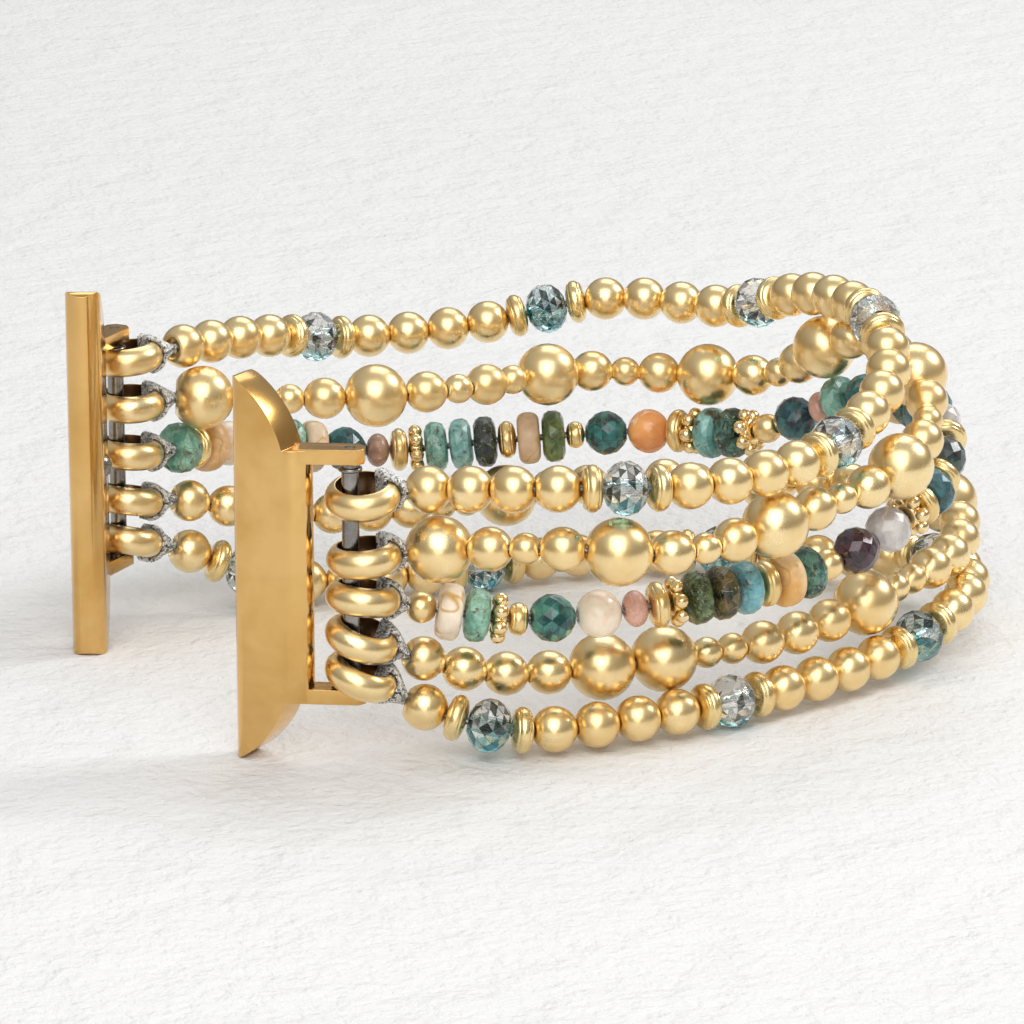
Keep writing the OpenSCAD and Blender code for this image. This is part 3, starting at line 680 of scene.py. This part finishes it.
def stone(name, light, body, matrix, vein, cloud, matrix_from, vein_width, polish, depth=0.01 * MM, glow=0.0,
          coat=0.3, facets=0.0, speckle=0.2):
    """Polished stone. Light and body give its colours from the lowest to the highest tint."""
    return surfaced(name, STONE, {
        "Light": light, "Body": body, "Matrix": matrix, "Vein": vein, "Cloud Scale": cloud,
        "Matrix From": matrix_from, "Vein Width": vein_width, "Polish": polish, "Matrix Roughness": polish + 0.25,
        "Facet Light Share": facets, "Speckle": speckle,
    }, depth, {
        "Subsurface Weight": glow, "Subsurface Radius": (1.0, 0.7, 0.5), "Subsurface Scale": 0.8 * MM,
        "Coat Weight": coat, "Coat Roughness": 0.12,
    })


def crystal_glass():
    """Cut glass, teal on its lower side, whose facets carry painted reflections: each facet is painted from near
    black to white, as light or dark thrown back. A high tint gives less teal and lighter facets.
    """
    material, tree = new_material("crystal_glass")
    coordinates = add(tree, "ShaderNodeTexCoord")
    tint, facet = kept_value(tree, "tint"), kept_value(tree, "facet")
    down = add(tree, "ShaderNodeSeparateXYZ", {"Vector": coordinates["Normal"]})[2]
    cloud = noise(tree, coordinates["Object"], 700.0, 2.0)
    # Painted reflections: facet, tint and cloud decide how far each facet is painted from near black to white, in the
    # clear glass and in the teal.
    reflection_share = maths(tree, "MULTIPLY_ADD", tint, 0.4, maths(tree, "MULTIPLY_ADD", cloud, 0.4, facet))
    bright = ranged(tree, reflection_share, 0.6, 0.85)
    painted_reflections = mixed(tree, bright, (0.035, 0.038, 0.033), (1.0, 1.0, 0.98))
    teal = mixed(tree, bright, (0.01, 0.2, 0.26), (0.5, 0.9, 0.92))
    low = maths(tree, "SUBTRACT", maths(tree, "SUBTRACT", cloud, down), tint)
    shade(tree, noise(tree, coordinates["Object"], 3000.0, 2.0), 0.006 * MM, {
        "Base Color": mixed(tree, ranged(tree, low, 0.15, 0.4), painted_reflections, teal), "Roughness": 0.02, "IOR": 1.6,
        "Transmission Weight": 0.82,
    })
    return material


BEAD_GOLD = plated("bead_gold", (0.97, 0.76, 0.4), (0.91, 0.66, 0.3), polish=0.28, dull=0.35,
                   depth=0.003 * MM, coat=0.5)
DISC_GOLD = plated("disc_gold", (0.93, 0.74, 0.38), (0.84, 0.61, 0.26), polish=0.24, dull=0.34,
                   depth=0.005 * MM, coat=0.4, lines=0.5)
DAISY_GOLD = plated("daisy_gold", (0.96, 0.79, 0.48), (0.84, 0.6, 0.27), polish=0.16, dull=0.26,
                    depth=0.006 * MM, grain=5000.0, patches=900.0, coat=0.3)
# Its bore colour is painted shade: the dark brown of the hollow bore, where little light reaches.
RING_GOLD = plated("ring_gold", (0.95, 0.75, 0.4), (0.88, 0.65, 0.3), polish=0.28, dull=0.36,
                   depth=0.001 * MM, coat=0.5, bore=(0.16, 0.08, 0.03))
ADAPTER_GOLD = plated("adapter_gold", (0.78, 0.49, 0.18), (0.66, 0.38, 0.11), polish=0.14, dull=0.2,
                      depth=0.002 * MM, grain=7000.0, patches=120.0, coat=0.2)
STEEL = plated("steel", (0.34, 0.33, 0.31), (0.22, 0.21, 0.2), polish=0.18, dull=0.3,
               depth=0.004 * MM, grain=7000.0, patches=500.0)
THREAD_GREY = surfaced("elastic_thread", THREAD, {
    "Pale": (0.86, 0.85, 0.82), "Dark": (0.14, 0.13, 0.11), "Fleck Scale": 5200.0,
}, 0.03 * MM, {"Metallic": 0.35})
CRYSTAL = crystal_glass()
TURQUOISE = stone(
    "turquoise",
    [(0.3, 0.55, 0.42), (0.34, 0.62, 0.66), (0.05, 0.2, 0.25), (0.17, 0.26, 0.09)],
    [(0.1, 0.28, 0.2), (0.13, 0.37, 0.42), (0.012, 0.07, 0.09), (0.05, 0.1, 0.025)],
    (0.07, 0.05, 0.02), (0.2, 0.14, 0.06),
    cloud=380.0, matrix_from=0.545, vein_width=0.008, polish=0.22, depth=0.05 * MM, glow=0.08, facets=0.16)
DARK_GREEN = stone(
    "dark_green",
    [(0.15, 0.23, 0.07), (0.19, 0.13, 0.035), (0.08, 0.25, 0.19), (0.03, 0.055, 0.05)],
    [(0.01, 0.024, 0.009), (0.012, 0.02, 0.007), (0.008, 0.036, 0.028), (0.007, 0.011, 0.011)],
    (0.035, 0.018, 0.006), (0.34, 0.4, 0.26),
    cloud=620.0, matrix_from=0.54, vein_width=0.012, polish=0.26, depth=0.12 * MM, facets=0.15, speckle=0.3)
PEACH = stone(
    "peach",
    [(0.88, 0.77, 0.62), (0.78, 0.6, 0.4), (0.97, 0.82, 0.56)],
    [(0.78, 0.64, 0.5), (0.64, 0.44, 0.27), (0.76, 0.42, 0.13)],
    (0.92, 0.82, 0.67), (0.62, 0.36, 0.08),
    cloud=130.0, matrix_from=0.57, vein_width=0.013, polish=0.34, depth=0.02 * MM, glow=0.25, coat=0.0, speckle=0.12)
PINK = stone(
    "pink",
    [(0.78, 0.46, 0.36), (0.46, 0.28, 0.2)], [(0.6, 0.3, 0.23), (0.3, 0.16, 0.11)],
    (0.3, 0.14, 0.09), (0.85, 0.65, 0.52),
    cloud=520.0, matrix_from=0.66, vein_width=0.006, polish=0.25, glow=0.25, speckle=0.1)
TEAL = stone(
    "teal",
    [(0.07, 0.3, 0.24), (0.02, 0.17, 0.18), (0.05, 0.08, 0.07)],
    [(0.006, 0.06, 0.06), (0.006, 0.055, 0.07), (0.02, 0.016, 0.024)],
    (0.012, 0.02, 0.035), (0.05, 0.17, 0.13),
    cloud=300.0, matrix_from=0.52, vein_width=0.006, polish=0.14, coat=0.4, facets=0.22)
AGATE = stone(
    "agate",
    [(1.0, 0.88, 0.73), (0.8, 0.78, 0.75), (0.9, 0.42, 0.14)],
    [(0.98, 0.8, 0.62), (0.42, 0.39, 0.38), (0.6, 0.18, 0.045)],
    (0.88, 0.64, 0.46), (0.85, 0.7, 0.56),
    cloud=190.0, matrix_from=0.57, vein_width=0.001, polish=0.2, glow=0.3, coat=0.4, facets=0.06, speckle=0.06)
AMETHYST = stone(
    "amethyst", [(0.085, 0.035, 0.05)] * 2, [(0.02, 0.008, 0.014)] * 2,
    (0.01, 0.005, 0.007), (0.16, 0.09, 0.1),
    cloud=420.0, matrix_from=0.6, vein_width=0.005, polish=0.1, coat=0.5, facets=0.3)


# ---- Beads ----
place_camera()
STRANDS = {number: Strand(number) for number in range(1, 6)}
TINT_STEP = 0.618


def points_mesh(places, alongs, tints, widths):
    """Points for beads, each with the direction of the cord, and the bead's tint and share of the full width."""
    mesh = bpy.data.meshes.new("places")
    mesh.from_pydata([tuple(p) for p in places], [], [])
    keep_values(mesh, "along", alongs, kind="FLOAT_VECTOR")
    keep_values(mesh, "tint", tints)
    keep_values(mesh, "width", widths)
    return mesh


def joined(name, pieces):
    """Several mesh objects as one."""
    if len(pieces) > 1:
        with bpy.context.temp_override(
                active_object=pieces[0], object=pieces[0],
                selected_objects=pieces, selected_editable_objects=pieces):
            bpy.ops.object.join()
    pieces[0].name = name
    return pieces[0]


def string_beads(node, number, shape, finish, tints=None, wider=0.0, longer=0.0, seed=1, spread=0.0,
                 lump=0.0, lump_scale=500.0, widths=None, others=None):
    """The beads of one CAD node, strung where its solids are. Round ones fill the room that the solids leave free.
    Others gives the beads of another shape."""
    strand = STRANDS[number]
    d, length = strand.size(node)
    d, length = d + wider, length + longer
    tints, widths, others = tints or {}, widths or {}, others or {}
    groups = {}
    for i in strand.numbers(node):
        groups.setdefault((others.get(i, shape), i in (0, strand.last)), []).append(i)
    pieces = []
    for (form, at_end), chosen in groups.items():
        if form is round_bead:
            room = min(float(np.linalg.norm(strand.ends[i + 1] - strand.ends[i])) for i in chosen)
            mesh = round_bead(d, room, at_end)
        else:
            mesh = form(d / 2, length / 2)
        bead = linked("bead", mesh)
        places = points_mesh(
            [strand.middles[i] for i in chosen], [strand.along(i) for i in chosen],
            [tints.get(i, (i * TINT_STEP + 0.1 * seed) % 1) for i in chosen], [widths.get(i, 1.0) for i in chosen])
        pieces.append(grown(f"{node}_part_{len(pieces)}", places, BEAD_STRING, {
            "Bead": bead, "Size Spread": spread, "Lump Height": lump, "Lump Scale": lump_scale,
            "Seed": seed, "Finish": finish,
        }))
        bpy.data.objects.remove(bead)
    piece = joined(node + "_beads", pieces)
    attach(piece, "strands")
    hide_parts(node)


ROUND_BEADS = {"gold": ((1, 5), 0.3), "large": ((2, 4), 0.2), "medium": ((2, 4), 0.1), "small": ((2, 3, 4), 0.25)}
for size, (numbers, wider) in ROUND_BEADS.items():
    for number in numbers:
        string_beads(f"{size}_rounds_{number}", number, round_bead, BEAD_GOLD, wider=wider * MM)
for number in (1, 5):
    string_beads(f"spacer_discs_{number}", number, ridged_disc, DISC_GOLD, longer=0.05 * MM)
string_beads("gold_discs_3", 3, ridged_disc, DISC_GOLD, longer=0.05 * MM,
             widths={4: 0.7, 42: 0.62, 45: 0.87})
string_beads("daisy_spacers_3", 3, daisy, DAISY_GOLD, wider=0.2 * MM)
string_beads("crystals_1", 1, crystal, CRYSTAL, {5: 0.5, 12: 0.6, 19: 0.85, 26: 0.7, 33: 0.1, 40: 0.6})
string_beads("crystals_5", 5, crystal, CRYSTAL, {2: 0.2, 9: 0.8, 16: 0.15, 37: 0.4}, seed=5)
string_beads("turquoise_discs_3", 3, cut_disc, TURQUOISE, {
    2: 0.0, 12: 0.33, 21: 0.66, 26: 0.6, 31: 0.05, 37: 0.15, 43: 1.0, 47: 0.2, 48: 0.1, 54: 0.0, 60: 0.0,
}, longer=0.2 * MM, spread=0.06, lump=0.25 * MM, lump_scale=420.0)
string_beads("dark_green_discs_3", 3, cut_disc, DARK_GREEN, {
    10: 0.0, 11: 0.33, 15: 0.66, 27: 0.6, 36: 0.7, 46: 1.0, 56: 0.8,
}, longer=0.2 * MM, spread=0.05, lump=0.4 * MM, lump_scale=700.0)
string_beads("peach_discs_3", 3, smooth_disc, PEACH, {
    1: 0.0, 14: 1.0, 28: 0.6, 44: 0.45, 53: 0.3, 58: 0.8,
}, longer=0.1 * MM, lump=0.15 * MM, lump_scale=380.0)
string_beads("pink_beads_3", 3, pebble, PINK, {7: 0.0, 32: 0.4, 51: 1.0}, longer=0.1 * MM)
string_beads("teal_rounds_3", 3, cut_round, TEAL, {5: 0.0, 23: 1.0, 30: 0.5, 33: 0.6, 41: 0.3, 52: 0.4})
string_beads("agate_rounds_3", 3, pebble, AGATE, {6: 0.0, 18: 0.5, 25: 0.5, 40: 1.0, 57: 0.1},
             others={18: cut_round, 25: cut_round})
string_beads("amethyst_round_3", 3, cut_round, AMETHYST)


# ---- Cords ----
def line_mesh(paths):
    """Open lines as edges of one mesh."""
    mesh = bpy.data.meshes.new("lines")
    points, edges = [], []
    for path in paths:
        edges += [(len(points) + i, len(points) + i + 1) for i in range(len(path) - 1)]
        points += [tuple(p) for p in path]
    mesh.from_pydata(points, edges, [])
    return mesh


def laid_cord(name, paths, d, plies, lay, step, sides):
    """Twisted cords of one width along the paths."""
    share = sin(pi / plies)
    ply_r = d / 2 * share / (1 + share)
    return grown(name, line_mesh(paths), LAID_CORD, {
        "Ply Radius": ply_r * 1.06, "Ply Ring Radius": d / 2 - ply_r, "Plies": plies, "Ply Sides": sides,
        "Lay Length": lay, "Step": step, "Finish": THREAD_GREY,
    })


WINDING_D = 0.46 * MM
# Each cord's diameter, plies, lay length, step along its line and sides of a ply.
BEAD_CORD = (0.7 * MM, 3, 2.2 * MM, 0.3 * MM, 5)
WINDING_CORD = (WINDING_D, 4, 1.1 * MM, 0.1 * MM, 6)
KNOT_CORD = (0.36 * MM, 3, 1.1 * MM, 0.12 * MM, 5)
# The windings' distance from each other at the ring and at their tips, from the ring at its wall and where one
# reaches out least, and between the two ends of one. Then how far each reaches from the ring to the knot.
WINDING_PITCH, WINDING_SPREAD = 0.33 * MM, 0.12 * MM
WINDING_CLEAR, WINDING_LEAST = 0.02 * MM, 0.05 * MM
WINDING_SPLIT = 0.1 * MM
WINDING_REACH = {0: 1.0, 1: 0.72, -1: 0.86, 2: 0.42, -2: 0.56, 3: 0.12, -3: 0.26, 4: 0.0, -4: 0.05}
# How far inside an end bead the loop and the knot lie, and the knot's size.
LOOP_END_IN, KNOT_IN, KNOT_SIZE = 0.35 * MM, 0.5 * MM, 0.42 * MM


def turned_about(v, axis, angle):
    """A vector turned about an axis."""
    return np.array(Matrix.Rotation(angle, 3, Vector(axis)) @ Vector(v))


def bends_left(a, b, c):
    """Whether the way from a by b to c turns left."""
    return (b[0] - a[0]) * (c[1] - a[1]) > (b[1] - a[1]) * (c[0] - a[0])


def hull(points):
    """Corners of the convex outline round 2D points, counterclockwise."""
    points = sorted(set(map(tuple, points)))
    halves = []
    for run in (points, points[::-1]):
        half = []
        for p in run:
            while len(half) > 1 and not bends_left(half[-2], half[-1], p):
                half.pop()
            half.append(p)
        halves.append(half[:-1])
    return halves[0] + halves[1]


def windings(ring, knot):
    """Lines of cord round the ring's wall, side by side. The middle one reaches the knot and the others less far, to
    fill the space before the first bead."""
    to_knot = knot - ring.middle
    out = unit(to_knot - ring.axis * (to_knot @ ring.axis))
    off = WINDING_D / 2 + WINDING_CLEAR
    edge_turn = atan2(ring.height / 2, ring.inner - ring.bulge_at)
    section = [(ring.bulge_at + (ring.bulge + off) * cos(t), (ring.bulge + off) * sin(t))
               for t in np.linspace(-edge_turn, edge_turn, 15)]
    for side in (-1, 1):
        section += [(ring.inner + off * cos(t), side * (ring.height / 2 + off * sin(t)))
                    for t in np.linspace(edge_turn, pi, 6)]
    lines = []
    for j, reach in WINDING_REACH.items():
        outward = turned_about(out, ring.axis, j * WINDING_PITCH / ring.outer)
        across = np.cross(ring.axis, outward)
        near = np.array((ring.outer + off + WINDING_LEAST, 0.0))
        tip = tuple(near + reach * (np.array((to_knot @ outward, to_knot @ ring.axis)) - near))
        outline = hull(section + [tip])
        start = outline.index(tip)
        round_ring = outline[start + 1:] + outline[:start]
        end = ring.middle + outward * tip[0] + ring.axis * tip[1] + across * j * WINDING_SPREAD * reach
        lift = ring.axis * WINDING_SPLIT
        lines.append([end + lift] + [ring.middle + outward * r + ring.axis * z for r, z in round_ring] + [end - lift])
    return lines


def knot_line(at, along, size):
    """A small overhand knot round the cord's end."""
    side = unit(np.cross(along, (0, 0, 1)))
    up = np.cross(side, along)
    line = []
    for t in np.linspace(0, 2 * pi, 48):
        x, y, z = sin(t) + 2 * sin(2 * t), cos(t) - 2 * cos(2 * t), -sin(3 * t)
        line.append(at + size / 3 * (x * side + y * up + z * along))
    return line


for number, strand in STRANDS.items():
    piece = laid_cord(f"{strand.cord}_plies", [strand.ends], *BEAD_CORD)
    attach(piece, "strands")
    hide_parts(strand.cord)

RINGS = {}
# A loop is two pieces that meet at LOOP_CUT_X.
LOOP_FREE_X, LOOP_HELD_X, LOOP_CUT_X, LOOP_TURNS_X = 5.02 * MM, 4.9 * MM, 4.9 * MM, 4.0 * MM


def part_below(piece, name, x):
    """Moves the piece's faces that lie below x to a new piece."""
    lower = linked(name, piece.data.copy())
    for side, keeps_low in ((piece, False), (lower, True)):
        bm = bmesh.new()
        bm.from_mesh(side.data)
        faces = [f for f in bm.faces if (f.calc_center_median().x < x) != keeps_low]
        bmesh.ops.delete(bm, geom=faces, context="FACES")
        bm.to_mesh(side.data)
        bm.free()
    return lower


for end in "ab":
    loops, knots = [], []
    for number, strand in STRANDS.items():
        ring = RINGS[f"{end}{number}"] = Ring(f"ring_{end}{number}")
        first, pole = (0, strand.ends[0]) if end == "a" else (strand.last, strand.ends[-1])
        inward = strand.along(first)
        loop = laid_cord(f"cord_loop_{end}{number}_out", windings(ring, pole + inward * LOOP_END_IN), *WINDING_CORD)
        held = part_below(loop, f"cord_loop_{end}{number}_plies", LOOP_CUT_X)
        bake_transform(held)
        loops.append(loop)
        knots.append(knot_line(pole + inward * KNOT_IN, inward, KNOT_SIZE))
    loops = joined(f"cord_loops_{end}_plies", loops)
    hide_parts(f"cord_loops_{end}")
    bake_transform(loops)
    tied = laid_cord(f"knots_{end}", knots, *KNOT_CORD)
    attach(tied, "strands")


# ---- Rings ----
RING_EDGE = 0.14 * MM
# Points within this depth of the bore take the painted bore shade.
RING_BORE_SHADE_DEPTH = 0.05 * MM


def standing(at, along):
    """The transform that puts the origin at a point, and Z along a direction."""
    return Matrix.Translation(Vector(at)) @ UP.rotation_difference(Vector(along)).to_matrix().to_4x4()


def ring_mesh(ring):
    """A ring with a flat bore, a bulging outer face and rounded edges, at its place."""
    h, edge, inner, bulge = ring.height / 2, RING_EDGE, ring.inner, ring.bulge
    reach = atan2(h - 0.6 * edge, inner + edge - ring.bulge_at)
    profile = [(ring.bulge_at + bulge * cos(t), bulge * sin(t)) for t in np.linspace(-reach, reach, 15)]
    rim = [(inner + 0.55 * edge, h - 0.12 * edge), (inner + 0.12 * edge, h - 0.4 * edge), (inner, h - edge)]
    profile += rim + [(inner, 0.0)] + below(rim)
    mesh = turned_mesh("ring", profile, 64)
    # Marks the bore's points, where the ring material paints shade.
    keep_values(mesh, "bore", [v.co.xy.length < inner + RING_BORE_SHADE_DEPTH for v in mesh.vertices])
    mesh.transform(standing(ring.middle, ring.axis))
    mesh.materials.append(RING_GOLD)
    return mesh


for key, ring in RINGS.items():
    piece = linked(f"ring_{key}_polished", ring_mesh(ring))
    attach(piece, f"ring_body_{key}")
    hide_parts(f"ring_{key}")


# ---- Adapters, bars and latches ----
SHARP_ANGLE, CREASE_ANGLE = radians(30), radians(35)


def softened(node, body, finish, edge):
    """A copy of a CAD node with its sharp edges rounded."""
    bm = bmesh.new()
    bm.from_mesh(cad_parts[node].data)
    bmesh.ops.remove_doubles(bm, verts=bm.verts, dist=1e-6)
    bmesh.ops.dissolve_limit(bm, angle_limit=radians(0.5), verts=bm.verts, edges=bm.edges)
    sharp = [e for e in bm.edges if e.is_manifold and e.calc_face_angle(0) > SHARP_ANGLE]
    bmesh.ops.bevel(bm, geom=sharp, offset=edge, segments=2, profile=0.7, affect="EDGES", clamp_overlap=True)
    mesh = bpy.data.meshes.new(node + "_soft")
    bm.to_mesh(mesh)
    bm.free()
    mesh.polygons.foreach_set("use_smooth", [True] * len(mesh.polygons))
    mesh.set_sharp_from_angle(angle=CREASE_ANGLE)
    mesh.materials.append(finish)
    piece = linked(node + "_finished", mesh)
    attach(piece, body)
    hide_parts(node)


def coil(name, at, along, height, radius, wire, turns):
    """A coil spring from a point along a direction."""
    piece = grown(name, bpy.data.meshes.new("none"), COIL, {
        "Turns": turns, "Coil Radius": radius - wire / 2, "Coil Height": height - wire, "Wire Radius": wire / 2,
        "Finish": STEEL,
    })
    piece.data.transform(standing(Vector(at) + Vector(along) * wire / 2, along))
    return piece


COLLAR_HEIGHT, COLLAR_IN = 0.4 * MM, 0.45 * MM


def collar(name, body, node, side):
    """The shoulder rolled near the end of a bar's tube."""
    low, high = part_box(node)
    r, h = (high.x - low.x) / 2, COLLAR_HEIGHT / 2
    profile = mirrored([
        (r + 0.3 * MM, 0.0), (r + 0.26 * MM, 0.6 * h), (r + 0.14 * MM, h), (r - 0.1 * MM, h),
    ], shared=True)
    mesh = turned_mesh(name, profile, 40)
    edge = high.z if side > 0 else low.z
    mesh.transform(Matrix.Translation(((low.x + high.x) / 2, (low.y + high.y) / 2, edge - side * COLLAR_IN)))
    mesh.materials.append(STEEL)
    piece = linked(name, mesh)
    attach(piece, body)


# Each spring's width of wire and turns.
BAR_COIL, LATCH_COIL = (0.12 * MM, 16), (0.16 * MM, 3)
LATCH_SLANT = radians(30)
for end in "ab":
    softened(f"adapter_{end}", f"adapter_body_{end}", ADAPTER_GOLD, 0.12 * MM)
    softened(f"latch_button_{end}", f"latch_{end}", STEEL, 0.05 * MM)
    softened(f"bar_tube_{end}", f"pin_{end}", STEEL, 0.06 * MM)
    for place in ("top", "bottom"):
        softened(f"bar_tip_{end}_{place}", f"tip_{end}_{place}", STEEL, 0.05 * MM)
    low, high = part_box(f"bar_spring_{end}")
    middle, half = (low + high) / 2, (high.z - low.z) / 2
    for place, side in (("top", 1), ("bottom", -1)):
        collar(f"bar_collar_{end}_{place}", f"pin_{end}", f"bar_tube_{end}", side)
        spring = coil(f"bar_coil_{end}_{place}", middle, (0, 0, side), half, (high.x - low.x) / 2, *BAR_COIL)
        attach(spring, f"pin_{end}")
        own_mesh(spring)
        if place == "top":
            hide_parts(f"bar_spring_{end}")
    sleeve = triangles(f"latch_spring_{end}")[0]
    press = np.array((-cos(LATCH_SLANT), sin(LATCH_SLANT) * (-1 if end == "a" else 1), 0))
    rise, out = rise_and_reach(sleeve, sleeve.mean(0), press)
    floor_at = sleeve.mean(0) + press * rise.max()
    spring = coil(f"latch_coil_{end}", floor_at, -press, rise.max() - rise.min(), out.max(), *LATCH_COIL)
    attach(spring, f"adapter_body_{end}")
    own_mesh(spring)
    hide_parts(f"latch_spring_{end}")


# ---- Floor and light ----
FLOOR_HALF = 6.0
LIGHTS_FACE = Vector((0.03, 0, 0.015))
SKY_LOW, SKY_HIGH = 0.22, 0.5
SKY_WARM, SKY_COOL = (1.0, 0.8, 0.55), (0.97, 0.985, 1.0)
# Each light's azimuth and elevation in degrees, distance, size and power.
SOFTBOXES = {
    "front_softbox": (236, 44, 0.8, 0.7, 3.5),
    "side_softbox": (-12, 40, 1.0, 0.35, 3.8),
    "back_softbox": (50, 52, 1.0, 0.6, 2.0),
    "fill_softbox": (238, 14, 1.1, 0.45, 1.1),
}


def build_floor():
    """Pale plaster with a fine, trowelled grain."""
    material, tree = new_material("pale_floor")
    where = object_place(tree)
    cloud = noise(tree, where, 9.0, 5.0, 0.55)
    coarse = noise(tree, where, 160.0, 5.0, 0.55, 0.2)
    fine = noise(tree, where, 900.0, 3.0, 0.6)
    shade(tree, maths(tree, "MULTIPLY_ADD", fine, 0.3, coarse), 1.1 * MM, {
        "Base Color": mixed(tree, cloud, (0.8, 0.795, 0.79), (0.86, 0.858, 0.855)), "Roughness": 0.85,
        "Specular IOR Level": 0.2,
    })
    mesh = bpy.data.meshes.new("floor")
    corners = [(x * FLOOR_HALF, y * FLOOR_HALF, 0) for x, y in ((-1, -1), (1, -1), (1, 1), (-1, 1))]
    mesh.from_pydata(corners, [], [(0, 1, 2, 3)])
    mesh.materials.append(material)
    linked("floor", mesh)


def softbox(name, azimuth, elevation, distance, size, power):
    """A square light that faces the band's middle."""
    data = bpy.data.lights.new(name, "AREA")
    data.size = size
    data.energy = power
    lamp = linked(name, data)
    lamp.rotation_euler = radians(90 - elevation), 0, radians(90 + azimuth)
    lamp.location = LIGHTS_FACE + lamp.rotation_euler.to_matrix() @ Vector((0, 0, distance))


def build_light():
    """A sky that is warm and dim at the horizon and brighter above, and four softboxes."""
    world = bpy.data.worlds.new("studio")
    bpy.context.scene.world = world
    world.use_nodes = True
    tree = world.node_tree
    upward = add(tree, "ShaderNodeTexCoord")["Generated"]
    height = add(tree, "ShaderNodeSeparateXYZ", {"Vector": upward})[2]
    sky = tree.nodes["Background"].inputs
    feed(tree, sky["Color"], mixed(tree, ranged(tree, height, 0.0, 0.5), SKY_WARM, SKY_COOL))
    feed(tree, sky["Strength"], ranged(tree, height, 0.0, 0.75, SKY_LOW, SKY_HIGH))
    for name, values in SOFTBOXES.items():
        softbox(name, *values)
    bpy.context.scene.view_settings.view_transform = "Standard"


build_floor()
build_light()
